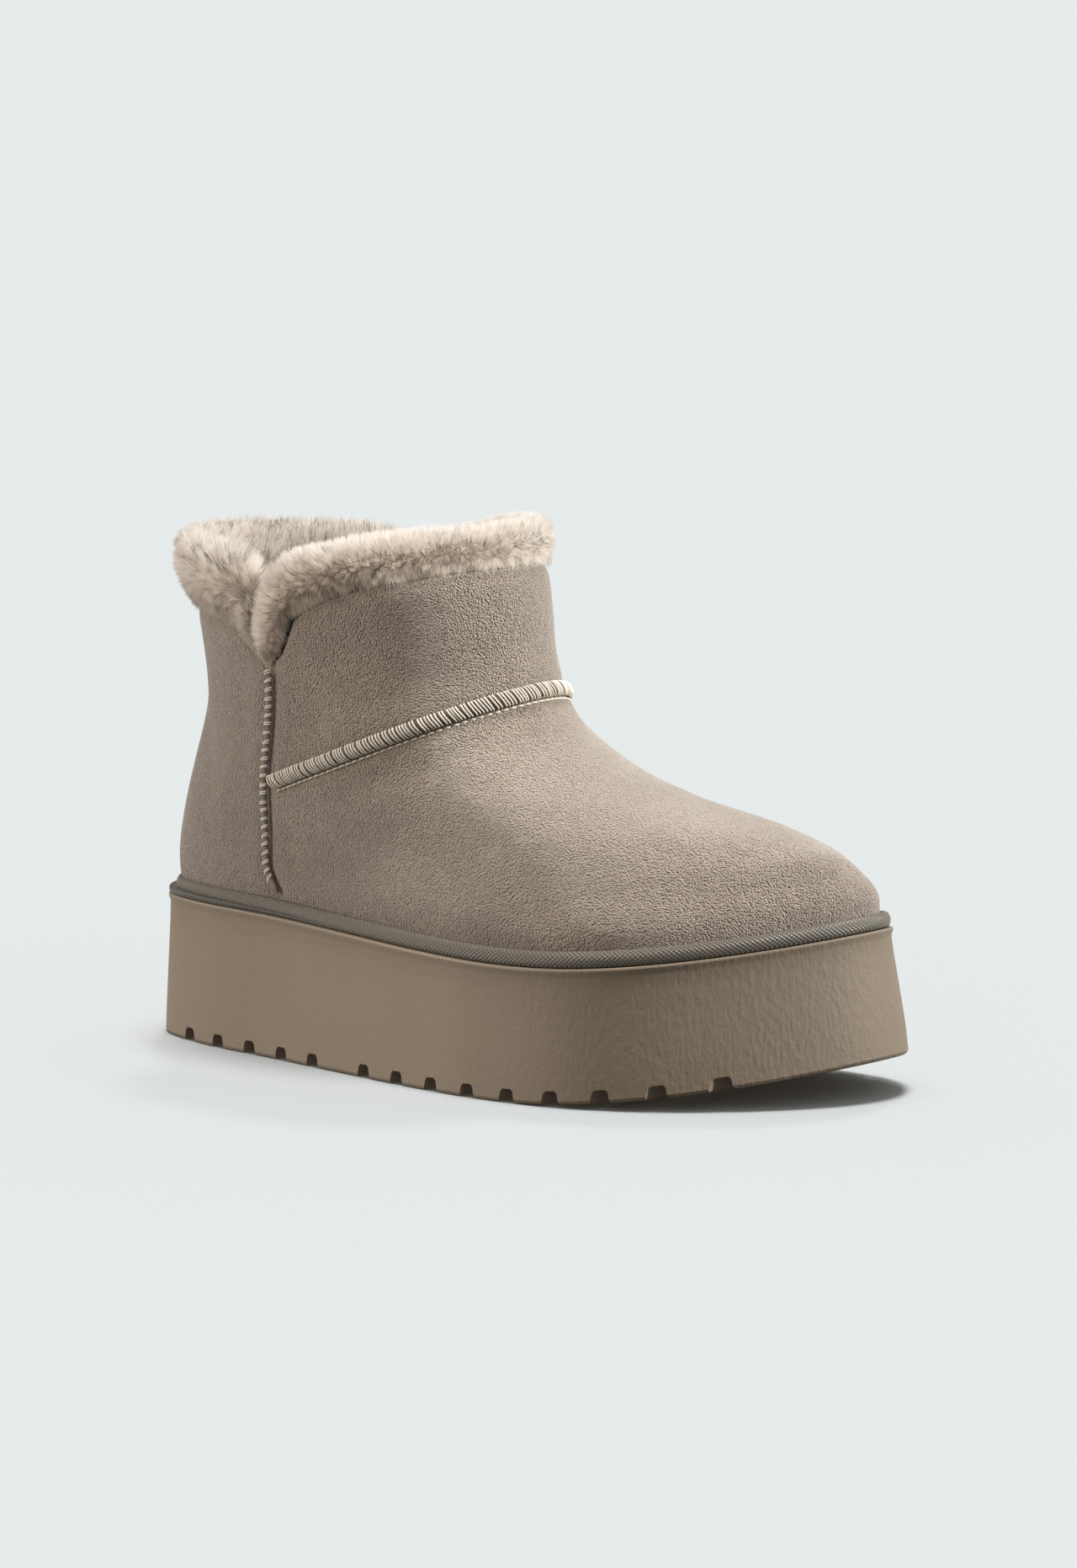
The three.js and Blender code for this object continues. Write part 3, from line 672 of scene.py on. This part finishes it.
# Loops of thread over a seam; each loop is a few strands side by side, slanting and curling at its foot
def overlockStrands(line, width, height, stitch, seed):
    rng = np.random.default_rng(seed)
    total = line["length"][-1]
    turn = np.linspace(-1.12, stitch["turn"], 9)
    side = np.sin(turn * math.pi / 2)
    strands = []
    for k in range(int((total - 1) / stitch["pitch"])):
        middle = 0.9 + k * stitch["pitch"] + rng.normal(0, 0.16)
        for j in range(stitch["strands"]):
            offset = (j - (stitch["strands"] - 1) / 2) * stitch["spread"] + rng.normal(0, 0.09)
            lean = -stitch["slant"] * side * (0.6 + rng.normal(0, 0.1)) + stitch["curl"] * (1 - side) ** 2 / 4
            rise = 0.1 + height * (0.45 + 0.52 * np.cos(turn * math.pi / 2)) + 0.12 + rng.normal(0, 0.06)
            strands.append(seamPoint(line, middle + offset + lean, side * (width / 2 + stitch["foot"]), rise))
    return strands


def dashes(line, side, pitch, length):
    total = line["length"][-1]
    strands = []
    for k in range(int((total - 2) / pitch)):
        place = 1 + k * pitch + np.linspace(0, length, 6)
        rise = np.array([0, 0.5, 0.66, 0.66, 0.5, 0])
        strands.append(seamPoint(line, place, np.full(6, side), rise))
    return strands


seamLines = {key: seamFrame(path) for key, path in seamPaths.items()}
for key, node in (("outer", "side_seam_outer"), ("inner", "side_seam_inner"), ("instep", "instep_seam")):
    kind = "instep" if key == "instep" else "side"
    width, height = seams[kind + "Width"] - 0.7, seams[kind + "Height"] - 0.4
    seamCorePiece(f"{node}_core", seamLines[key], width, height, seamCores[kind], node)
    strands = overlockStrands(seamLines[key], width, height, stitches[kind], 5)
    threadPiece(f"{node}_thread", strands, stitches[kind]["radius"], seamThreads[kind])
threadPiece("instep_seam_lockstitch", dashes(seamLines["instep"], -seams["instepWidth"] / 2 - 1.2,
            stitches["dashPitch"], stitches["dashLength"]), stitches["dashRadius"], lockThread)


# The welt: a rolled strip round the foot of the upper
def evenRound(count, outset):
    u = np.linspace(0, 1, 3000)
    length = distances(outlinePoint(u, outset))
    return np.interp(np.linspace(0, length[-1], count, endpoint=False), length, u)


weltSizes = {
    "rollHeel": 2.7,
    "rollFront": 4.2,
    "flangeHeel": 5.0,
    "flangeFront": 4.0,
    "flangeHighHeel": 2.1,
    "flangeHighFront": 1.15,
    "cover": 0.35,
    "flangeCover": 0.25,
    "widenFrom": 12,
    "widenOver": 105,
}
rollSection = np.array([
    (0.0, 0.0), (0.5, 0.0), (0.9, 0.02), (1.0, 0.12), (1.04, 0.26), (1.05, 0.42), (1.0, 0.6), (0.9, 0.76), (0.76, 0.89),
    (0.58, 0.97), (0.42, 0.99), (0.2, 0.84), (0.0, 0.5), (0.0, 0.3),
])
flangeSection = np.array([
    (0.0, 0.0), (0.5, 0.0), (0.95, 0.0), (1.0, 0.15), (1.02, 0.5), (1.0, 0.85), (0.96, 1.0), (0.75, 1.04), (0.4, 1.04),
    (0.0, 1.04),
])


def weltStrip(name, section, heelWidth, frontWidth, low, heelHigh, frontHigh, material):
    u = evenRound(460, -8)
    forward = ease((featherPoint(u)[:, 0] - weltSizes["widenFrom"]) / weltSizes["widenOver"])
    width, high = mix(heelWidth, frontWidth, forward), mix(heelHigh, frontHigh, forward)
    against = facePoint(u, 0.0)[:, 0]
    rows = []
    for share, rise in section:
        up = low + rise * (high - low)
        if share == 0:
            wall = levelAt(u, platformTop(against) + up)
            point = (facePoint(u, wall) + faceNormal(u, wall) * 0.25)[:, :2]
        else:
            point = featherPoint(u, 0.3 + share * (width - 0.3))
        rows.append(np.column_stack([point, platformTop(point[:, 0]) + up]))
    return finishPiece(gridMesh(name, np.stack(rows), around=True, over=True), name, material)


roll = weltStrip("checked_welt", rollSection, weltSizes["rollHeel"], weltSizes["rollFront"], weltSizes["cover"],
                 sole["weltHeight"], sole["weltHeight"], check)
weltStrip("ribbed_flange", flangeSection, weltSizes["flangeHeel"], weltSizes["flangeFront"],
          weltSizes["flangeCover"], weltSizes["flangeHighHeel"], weltSizes["flangeHighFront"], ribbed)
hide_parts("welt")


# The platform: a stack of outlines, cut to its side view with the grooves
platformLevels = [
    # kind, height, inset of the flare, plus inset
    ("low", -3, 0, 2.4), ("low", 0, 0, 1.2), ("low", 0.35, 0, 0.5), ("low", 1.2, 0, 0), ("share", 0.2, 0.12, 0.15),
    ("share", 0.4, 0.34, 0.32), ("share", 0.6, 0.58, 0.5), ("share", 0.8, 0.84, 0.6), ("high", -3.2, 0.98, 0.62),
    ("high", -2.2, 1, 0.45), ("high", -1.4, 1, 0.1), ("high", -0.7, 1, 0), ("high", -0.15, 1, 0.25),
    ("high", 0.0, 1, 0.6), ("high", 3, 1, 0.6),
]


def sideViewPoints():
    grooves = [start + sole["groovePitch"] * i for start, count in (sole["heelGrooves"], sole["foreGrooves"])
               for i in range(count)]
    steps = np.linspace(0, sole["length"], 61)
    stops = [(x, False) for x in steps if min(abs(x - g) for g in grooves) > sole["mouth"] * 0.75]
    half, roof, deep = sole["mouth"] / 2, sole["roof"] / 2, sole["depth"]
    profile = ((-half - 0.5, 0), (-half, 0.35), (-roof - 0.35, deep - 0.9), (-roof + 0.45, deep),
               (roof - 0.45, deep), (roof + 0.35, deep - 0.9), (half, 0.35), (half + 0.5, 0))
    low = [(-30, 0)]
    for x, groove in sorted(stops + [(g, True) for g in grooves]):
        for dx, up in profile if groove else ((0, 0),):
            low.append((x + dx, float(underside(x + dx)) + up))
    low.append((sole["length"] + 30, float(underside(sole["length"]))))
    high = [(x, float(platformTop(x))) for x in np.linspace(sole["length"] + 30, -30, 90)]
    return low + high


def makePlatform():
    u = evenRound(380, 0)
    rows = []
    for kind, height, flareShare, inset in platformLevels:
        edge = outlinePoint(u)
        point = outlinePoint(u, -(flareAt(edge[:, 0]) * flareShare + inset))
        low, high = underside(point[:, 0]), platformTop(point[:, 0])
        z = {"low": low + height, "high": high + height, "share": mix(low, high, height)}[kind]
        rows.append(np.column_stack([point, z]))
    mesh = gridMesh("stack", np.stack(rows), around=True)
    closeEnds(mesh)
    stack = placed("stack", mesh)
    bm = bmesh.new()
    face = bm.faces.new([bm.verts.new(toFrame((x, -90, z))) for x, z in sideViewPoints()])
    pushed = bmesh.ops.extrude_face_region(bm, geom=[face])["geom"]
    bmesh.ops.translate(bm, verts=[g for g in pushed if isinstance(g, bmesh.types.BMVert)], vec=(0, 0.18, 0))
    bmesh.ops.recalc_face_normals(bm, faces=bm.faces)
    slab = bpy.data.meshes.new("slab")
    bm.to_mesh(slab)
    bm.free()
    slabPiece = placed("slab", slab)
    cut = stack.modifiers.new("cut", "BOOLEAN")
    cut.operation = "INTERSECT"
    cut.solver = "EXACT"
    cut.object = slabPiece
    mesh = applied(stack)
    mesh.name = "foam_platform"
    bpy.data.objects.remove(stack)
    bpy.data.objects.remove(slabPiece)
    bm = bmesh.new()
    bm.from_mesh(mesh)
    bmesh.ops.remove_doubles(bm, verts=bm.verts, dist=2e-6)
    for edge in bm.edges:
        edge.smooth = edge.calc_face_angle(0) < math.radians(28)
    bm.to_mesh(mesh)
    bm.free()
    mesh.materials.clear()
    piece = finishPiece(mesh, "foam_platform", foam)
    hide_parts("platform_sole")


makePlatform()


# Fur. Two rolls, one on the front of the collar and one on the back, each swept along the suede's edge.
# The section runs from the foot of the roll outside, over the top and down the inside:
# tip and root of a hair as (share of the roll's height, plus mm) and mm off the suede.
furSection = {
    "place": np.array([0, 0.07, 0.17, 0.28, 0.37, 0.44, 0.5, 0.57, 0.66, 0.76, 0.86, 1.0]),
    "tipUp": np.array([0, 0.08, 0.26, 0.52, 0.82, 0.97, 1.0, 0.95, 0.72, 0.38, 0.1, 0]),
    "tipMore": np.array([0, 0, 0, 0, 0, 0, 0, 0, 0, 0, -1.5, -5]),
    "tipOut": np.array([0.1, 0.32, 0.72, 1.0, 0.78, 0.25, -0.75, -1.55, -2.1, -2.2, -2.0, -1.7]),
    "rootUp": np.array([0.2, 0.25, 0.33, 0.45, 0.58, 0.66, 0.68, 0.64, 0.48, 0.24, 0.05, 0]),
    "rootMore": np.array([0.6, 0, 0, 0, 0, 0, 0, 0, 0, -0.5, -2, -5]),
    "rootOut": np.array([0.4, 0.4, 0.4, 0.4, 0.2, -0.4, -1.2, -2.2, -2.7, -2.7, -2.7, -2.7]),
}

# height and bulge of each roll by x, and where it ends as x by z, in mm
fur = {
    "reach": 34,
    "lipSide": 22,
    "overlap": 0.6,
    "inward": 4.3,
    "fullHeight": 12,
    "front": {
        "height": np.array([(60, 16), (79, 19.5), (86, 21.5), (99, 19), (120, 18), (137, 16), (145, 17.5)]),
        "bulge": np.array([(0, 4.4)]),
        "lip": np.array([(120, 70), (127, 68.6), (133, 65.8), (139, 62.8), (145, 62.8), (150, 64.2), (156, 67.2),
                         (162, 71), (168, 79), (175, 96)]),
        "hang": 0.7,
    },
    "rear": {
        "height": np.array([(10, 25), (40, 27), (55, 28), (70, 20)]),
        "bulge": np.array([(15, 6.2), (50, 5.2), (68, 3.4)]),
        "lip": np.array([(120, 70), (127, 68.4), (133, 65.4), (139, 62.4), (145, 62.4), (150, 63.8), (156, 66.6),
                         (162, 68.4), (166, 66), (170, 58), (175, 44)]),
        "hang": 0.2,
    },
}


def smoothLine(values, spread):
    reach = int(spread * 3)
    weights = np.exp(-((np.arange(-reach, reach + 1) / spread) ** 2) / 2)
    weights /= weights.sum()
    padded = np.concatenate([np.repeat(values[:1], reach, 0), values, np.repeat(values[-1:], reach, 0)])
    return np.stack([np.convolve(padded[:, i], weights, "valid") for i in range(values.shape[1])], 1)


# One roll: tips and roots of its hairs on a grid, along the suede's edge by round the section
def furRoll(start, end, sizes, forward):
    u = np.linspace(start, end, 900)
    v = levelOn(u, edgeHeight)
    point, out = facePoint(u, v), faceNormal(u, v)
    length = distances(point)
    place = np.linspace(0, length[-1], 500)
    even = lambda values: np.stack([np.interp(place, length, values[:, i]) for i in range(3)], 1)
    point, out = even(point), even(out)
    step = place[1]
    along = unit(smoothLine(np.gradient(smoothLine(point, 2.0 / step), axis=0), 2.5 / step))
    up = unit(np.cross(out, along))
    height = fromTable(sizes["height"], point[:, 0])
    reaches = np.linspace(0, fur["reach"], 120)
    for i in range(len(place)):
        if abs(point[i, 1]) < fur["lipSide"]:
            continue
        line = point[i] + up[i] * reaches[:, None]
        wall = fromTable(sizes["lip"], line[:, 2])
        past = (line[:, 0] < wall) if forward else (line[:, 0] > wall)
        if past[1:].any():
            height[i] = min(height[i], reaches[1:][past[1:]][0] + fur["overlap"])
    height = smoothLine(height[:, None], 1.6 / step)[:, 0]
    bulge = (fromTable(sizes["bulge"], point[:, 0]) * np.clip(height / fur["fullHeight"], 0.35, 1))[:, None, None]
    fine = np.linspace(0, 1, 61)
    pick = lambda key: np.interp(fine, furSection["place"], furSection[key])[None, :, None]
    surface = lambda rise, off: point[:, None] + up[:, None] * rise + out[:, None] * off
    tipRise, rootRise = (pick(kind + "Up") * height[:, None, None] + pick(kind + "More") for kind in ("tip", "root"))
    tipOut = pick("tipOut")
    tip = surface(tipRise - sizes["hang"] * np.clip(1 - fine / 0.1, 0, 1)[None, :, None],
                  np.where(tipOut > 0, tipOut * bulge, tipOut * fur["inward"]))
    return {"tip": tip, "root": surface(rootRise, pick("rootOut")), "length": length[-1], "out": out}


rolls = {
    "front": furRoll(outerSeamU, innerSeamU, fur["front"], True),
    "rear": furRoll(innerSeamU, outerSeamU + 1, fur["rear"], False),
}


def sample(grid, a, b):
    rows, columns = grid.shape[:2]
    i, j = a * (rows - 1), b * (columns - 1)
    i0, j0 = np.minimum(i.astype(int), rows - 2), np.minimum(j.astype(int), columns - 2)
    fi, fj = (i - i0)[:, None], (j - j0)[:, None]
    top = grid[i0, j0] * (1 - fj) + grid[i0, j0 + 1] * fj
    low = grid[i0 + 1, j0] * (1 - fj) + grid[i0 + 1, j0 + 1] * fj
    return top * (1 - fi) + low * fi


# Hairs as slim three-sided spikes, joined in one mesh. The shading normal leans to the pile's own surface.
def hairPiece(name, root, tip, normal, width, tone):
    count = len(root)
    along = unit(tip - root)
    side = unit(np.cross(along, normal) + 1e-6)
    other = np.cross(along, side)
    verts, normals = np.empty((count, 4, 3)), np.empty((count, 4, 3))
    for k in range(3):
        angle = 2 * math.pi * k / 3
        corner = side * math.cos(angle) + other * math.sin(angle)
        verts[:, k] = root + corner * width
        normals[:, k] = unit(normal * 0.75 + corner * 0.5)
    verts[:, 3] = tip
    normals[:, 3] = unit(normal * 0.8 + along * 0.4)
    first = np.arange(count)[:, None] * 4
    faces = (first[:, :, None] + np.array([[0, 1, 3], [1, 2, 3], [2, 0, 3]])[None]).reshape(-1, 3)
    mesh = bpy.data.meshes.new(name)
    mesh.vertices.add(count * 4)
    mesh.vertices.foreach_set("co", toFrame(verts).ravel())
    mesh.loops.add(count * 9)
    mesh.loops.foreach_set("vertex_index", faces.ravel())
    mesh.polygons.add(count * 3)
    mesh.polygons.foreach_set("loop_start", np.arange(0, count * 9, 3))
    mesh.update(calc_edges=True)
    layer = mesh.uv_layers.new(name="map")
    v = np.tile([0.0, 0.0, 1.0], (count * 3, 1)).ravel()
    coords = np.stack([np.repeat(tone, 9), v], 1)
    layer.data.foreach_set("uv", coords.astype(np.float32).ravel())
    piece = finishPiece(mesh, name, pile)
    mesh.normals_split_custom_set_from_vertices(normals.reshape(-1, 3).astype(np.float32))
    return piece


# Hairs draw together in tufts, more so where the pile parts low on the outside; the parting is painted darker, a
# painted shade
pileSizes = {
    "ragged": 0.6,
    "draw": 0.42,
    "drawSpread": 0.16,
    "mostDrawn": 0.8,
    "partingPlace": 0.13,
    "partingWidth": 0.14,
    "partingPaintedShade": 0.75,
    "droop": 0.5,
    "upward": 0.9,
}


# Pile on the part of a roll from first to last, as shares of its section
def pileOn(name, roll, first, last, count, seed, tuft=3.4, width=0.137, jitter=1.0):
    rng = np.random.default_rng(seed)
    a, b = rng.random(count), first + (last - first) * rng.random(count)
    normalGrid = unit(np.cross(*np.gradient(roll["tip"], axis=(0, 1))))
    middle = len(normalGrid) // 2
    if np.dot(normalGrid[middle, 15], roll["out"][middle]) < 0:
        normalGrid = -normalGrid
    tip, root, normal = sample(roll["tip"], a, b), sample(roll["root"], a, b), unit(sample(normalGrid, a, b))
    tuftCount = max(60, int(roll["length"] * (last - first) * 100 / tuft**2))
    ta, tb = rng.random(tuftCount), first + (last - first) * rng.random(tuftCount)
    tuftTip = sample(roll["tip"], ta, tb) + rng.normal(0, 0.5, (tuftCount, 3))
    nearest = nearestOf(treeOf(tuftTip), tip)
    most, ragged = pileSizes["mostDrawn"], pileSizes["ragged"]
    draw = np.clip(rng.normal(pileSizes["draw"], pileSizes["drawSpread"], tuftCount), 0, most)[nearest]
    past = np.maximum(b - pileSizes["partingPlace"], 0) / pileSizes["partingWidth"]
    parting = np.exp(-(past**2)) * np.interp(abs(a - 0.5), [0.06, 0.2], [0.2, 1])
    draw = np.clip(draw * jitter * (0.7 + 0.6 * parting) * np.clip(b / 0.14, 0.3, 1), 0, most)
    tip = mix(tip, tuftTip[nearest], draw[:, None])
    tip += normal * (rng.normal(0, ragged * 0.55, count) - 0.6 * parting * rng.random(count))[:, None]
    tip += rng.normal(0, ragged * 0.45, (count, 3)) * (1 + parting[:, None])
    tip[:, 2] -= np.exp(-((b / 0.07) ** 2)) * np.abs(rng.normal(0, pileSizes["droop"], count))
    root = root + rng.normal(0, 0.25, (count, 3))
    tone = 0.5 + rng.normal(0, 0.34, count) * (1 + 0.5 * parting) + rng.normal(0, 0.24, tuftCount)[nearest]
    # painted shade: the pile is darker where it parts
    tone = np.clip(tone - pileSizes["partingPaintedShade"] * parting, 0, 1)
    normal = normal + jitter * (rng.normal(0, 0.22, (tuftCount, 3))[nearest] + rng.normal(0, 0.2, (count, 3)))
    # light soaks through pile, so its underside isn't as dark as its shape
    normal = unit(normal + [0, 0, pileSizes["upward"]])
    return hairPiece(name, root, tip, normal, width, tone)


furFront = pileOn("fur_front", rolls["front"], 0.0, 0.56, 56000, 11)
furRear = pileOn("fur_rear", rolls["rear"], 0.0, 0.56, 54000, 12)
pileOn("fur_front_inside", rolls["front"], 0.54, 1.0, 34000, 13, tuft=4.0, width=0.19, jitter=0.5)
pileOn("fur_rear_inside", rolls["rear"], 0.54, 1.0, 32000, 14, tuft=4.0, width=0.19, jitter=0.5)
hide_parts("fur_cuff")
furFront.visible_shadow = furRear.visible_shadow = False  # the skin under the pile throws the shadow

for name, roll in rolls.items():
    backing = mix(roll["root"], roll["tip"], 0.3)
    finishPiece(gridMesh(f"fur_skin_{name}", backing[::2, ::2]), f"fur_skin_{name}", skin)


# The fleece inside: a lining that follows the wall down to the insole, and the insole's own pile
lining = {
    "thick": 2.4,
    "gap": 0.4,
    "lump": 0.5,
    "lumpSize": 5.0,
    "insole": 5.0,
    "insoleGap": 1.2,
    "draw": 0.4,
    "hairs": 34000,
    "hair": 3.6,
    "hairWidth": 0.22,
    "tufts": 5000,
    "insoleHairs": 14000,
    "insoleHair": 3.4,
    "insoleHairWidth": 0.28,
    "insoleTufts": 2500,
}


def lumps(points, size):
    phase = points / size
    return (np.sin(phase[..., 0] * 2.1 + 1.3 * np.sin(phase[..., 2] * 1.7))
            * np.sin(phase[..., 2] * 2.3 + 1.1 * np.sin(phase[..., 1] * 1.9)) + np.sin(phase.sum(-1) * 1.6)) / 2


def wallGrids(columns=300, rows=60):
    u = heelU + np.linspace(0, 1, columns + 1)
    face = facePoint(u, levelOn(u, edgeHeight))
    floorHeight = platformTop(featherPoint(u)[..., 0]) + lining["insole"] - 1
    v = levelAt(u[None], mix(face[None, :, 2] - 1, floorHeight[None], np.linspace(0, 1, rows)[:, None]))
    return facePoint(u[None], v), faceNormal(u[None], v)


wallFace, wallOut = wallGrids()
insoleEdge = wallFace - wallOut * (upperSizes["wall"] + lining["insoleGap"])


def makeLining():
    fade = np.clip(np.linspace(0, 12, len(wallFace)), 0, 1)[:, None]
    front = wallFace - wallOut * (upperSizes["wall"] + lining["gap"] + lining["thick"] * fade)[..., None]
    front = front - wallOut * (lumps(front, lining["lumpSize"]) * lining["lump"] * fade)[..., None]
    back = (wallFace - wallOut * (upperSizes["wall"] + 0.1))[::-4]
    points = np.concatenate([front, back])[:, :-1]
    finishPiece(gridMesh("fleece_lining", points, around=True, over=True), "fleece_lining", skin)


def makeInsole():
    edge = insoleEdge[-1, :-1]
    middle = np.array([edge[:, 0].mean(), 0])
    rim = [(1, -4.4), (1, -0.9), (0.985, -0.2), (0.95, 0)]
    rows = []
    for shrink, rise in rim + [(s, 0) for s in np.linspace(0.88, 0.02, 16)]:
        flat = middle + (edge[:, :2] - middle) * shrink
        z = platformTop(flat[:, 0]) + lining["insole"] + rise
        point = np.column_stack([flat, z])
        if rise == 0:
            point[:, 2] += lumps(point, lining["lumpSize"]) * 0.35
        rows.append(point)
    mesh = gridMesh("fleece_insole", np.stack(rows), around=True)
    closeEnds(mesh)
    piece = finishPiece(mesh, "fleece_insole", skin)
    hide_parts("insole")


def liningPile():
    rng = np.random.default_rng(21)
    count = lining["hairs"]
    share, u = rng.random(count) ** 1.5, rng.random(count)
    out = unit(sample(wallOut, share, u))
    root = sample(wallFace, share, u) - out * (upperSizes["wall"] + 0.8)
    lean = rng.normal(0, 0.3, (count, 3)) + [0, 0, -0.25]
    tip = root - out * lining["hair"] * (1 + 0.2 * rng.normal(0, 1, (count, 1))) + lean * lining["hair"]
    tip = drawnTogether(tip, rng, lining["tufts"])
    tone = np.clip(0.45 + rng.normal(0, 0.2, count), 0, 1)
    hairPiece("fleece_lining_pile", root, tip, -out, lining["hairWidth"], tone)
    count = lining["insoleHairs"]
    edgeU, reach = rng.random(count), np.sqrt(rng.random(count)) * 0.96
    edge = sample(insoleEdge, np.ones(count), edgeU)
    middle = np.array([wallFace[-1, :, 0].mean(), 0])
    flat = middle + (edge[:, :2] - middle) * reach[:, None]
    root = np.column_stack([flat, platformTop(flat[:, 0]) + lining["insole"] - 0.6])
    tip = root + [0, 0, lining["insoleHair"]] + rng.normal(0, 0.9, (count, 3))
    tip = drawnTogether(tip, rng, lining["insoleTufts"])
    tone = np.clip(0.4 + rng.normal(0, 0.2, count), 0, 1)
    up = np.tile([0.0, 0, 1], (count, 1))
    hairPiece("fleece_insole_pile", root, tip, up, lining["insoleHairWidth"], tone)


def drawnTogether(tip, rng, tufts):
    middles = tip[rng.choice(len(tip), tufts, replace=False)]
    return mix(tip, middles[nearestOf(treeOf(middles), tip)], lining["draw"])


makeLining()
makeInsole()
liningPile()


# Light, floor and camera
view = {
    "azimuth": 37.0,
    "elevation": 7.81,
    "distance": 2410,
    "target": (135.0, 0, 88.0),
    "focal": 8917,
    "centre": (607, 941.3),
    "frame": (1280, 1863),
}
az, el = math.radians(view["azimuth"]), math.radians(view["elevation"])
viewBack = np.array([math.sin(az) * math.cos(el), -math.cos(az) * math.cos(el), math.sin(el)])
viewRight = np.array([math.cos(az), math.sin(az), 0])
viewUp = np.cross(viewBack, viewRight)

# Softboxes far off, as suns with a wide angle; each stands right of, above and in front of the boot by these shares.
# The key and the fill light the boot alone, so the floor stays even and keeps a soft shadow from the top light.
softboxes = {
    "key": {"place": (0.9, 0.47, 0.22), "strength": 4.75, "angle": 9, "colour": (0.94, 0.975, 1), "bootOnly": True},
    "fill": {"place": (-0.92, 0.36, 0.12), "strength": 2.05, "angle": 35, "colour": (1, 0.955, 0.9), "bootOnly": True},
    "top": {"place": (0, 1, 0.12), "strength": 2.0, "angle": 19, "colour": (1, 1, 1), "bootOnly": False},
    "back": {"place": (0.1, 1, -0.42), "strength": 0.35, "angle": 7, "colour": (1, 1, 1), "bootOnly": False},
}
bootPieces = bpy.data.collections.new("lit_by_softboxes")
for piece in bpy.context.scene.objects:
    if piece.type == "MESH" and not piece.hide_render:
        bootPieces.objects.link(piece)


def softbox(name, place, strength, angle, colour, bootOnly):
    light = bpy.data.lights.new(name, "SUN")
    light.energy = strength
    light.angle = math.radians(angle)
    light.color = colour
    lamp = placed(name, light)
    toward = viewRight * place[0] + viewUp * place[1] + viewBack * place[2]
    lamp.rotation_euler = Vector(-toward).to_track_quat("-Z", "Y").to_euler()
    if bootOnly:
        lamp.light_linking.receiver_collection = bootPieces


floorMesh = bpy.data.meshes.new("floor")
bm = bmesh.new()
bmesh.ops.create_grid(bm, x_segments=1, y_segments=1, size=30)
bm.to_mesh(floorMesh)
bm.free()
board = {"Roughness": 1.0, "Base Color": linear("#dfe4e5"), "Specular IOR Level": 0}
floorMesh.materials.append(newMaterial("painted board", board)[0])
floor = placed("floor", floorMesh)
floor.visible_diffuse = False  # a bright floor would lift the shade on the sides

world = bpy.data.worlds.new("studio")
bpy.context.scene.world = world
world.use_nodes = True
way = addNode(world, "ShaderNodeTexCoord").outputs["Generated"]
height = addNode(world, "ShaderNodeSeparateXYZ", {0: way}).outputs["Z"]
background = world.node_tree.nodes["Background"]
background.inputs["Color"].default_value = (1.0, 0.98, 0.95, 1)
world.node_tree.links.new(ramped(world, height, -0.2, 0.6, 0.16, 0.36), background.inputs["Strength"])
for name, box in softboxes.items():
    softbox(name, **box)


def makeCamera():
    width, height = view["frame"]
    camera = bpy.data.cameras.new("camera")
    camera.sensor_fit = "AUTO"
    camera.sensor_width = 36
    camera.lens = camera.sensor_width * view["focal"] / height
    camera.clip_end = 100
    camera.shift_x = (width / 2 - view["centre"][0]) / height
    camera.shift_y = -(height / 2 - view["centre"][1]) / height
    holder = placed("camera", camera)
    holder.location = toFrame(np.array(view["target"]) + viewBack * view["distance"])
    holder.rotation_euler = Vector(-viewBack).to_track_quat("-Z", "Y").to_euler()
    bpy.context.scene.camera = holder


makeCamera()
bpy.context.scene.view_settings.view_transform = "Standard"
print("scene made")
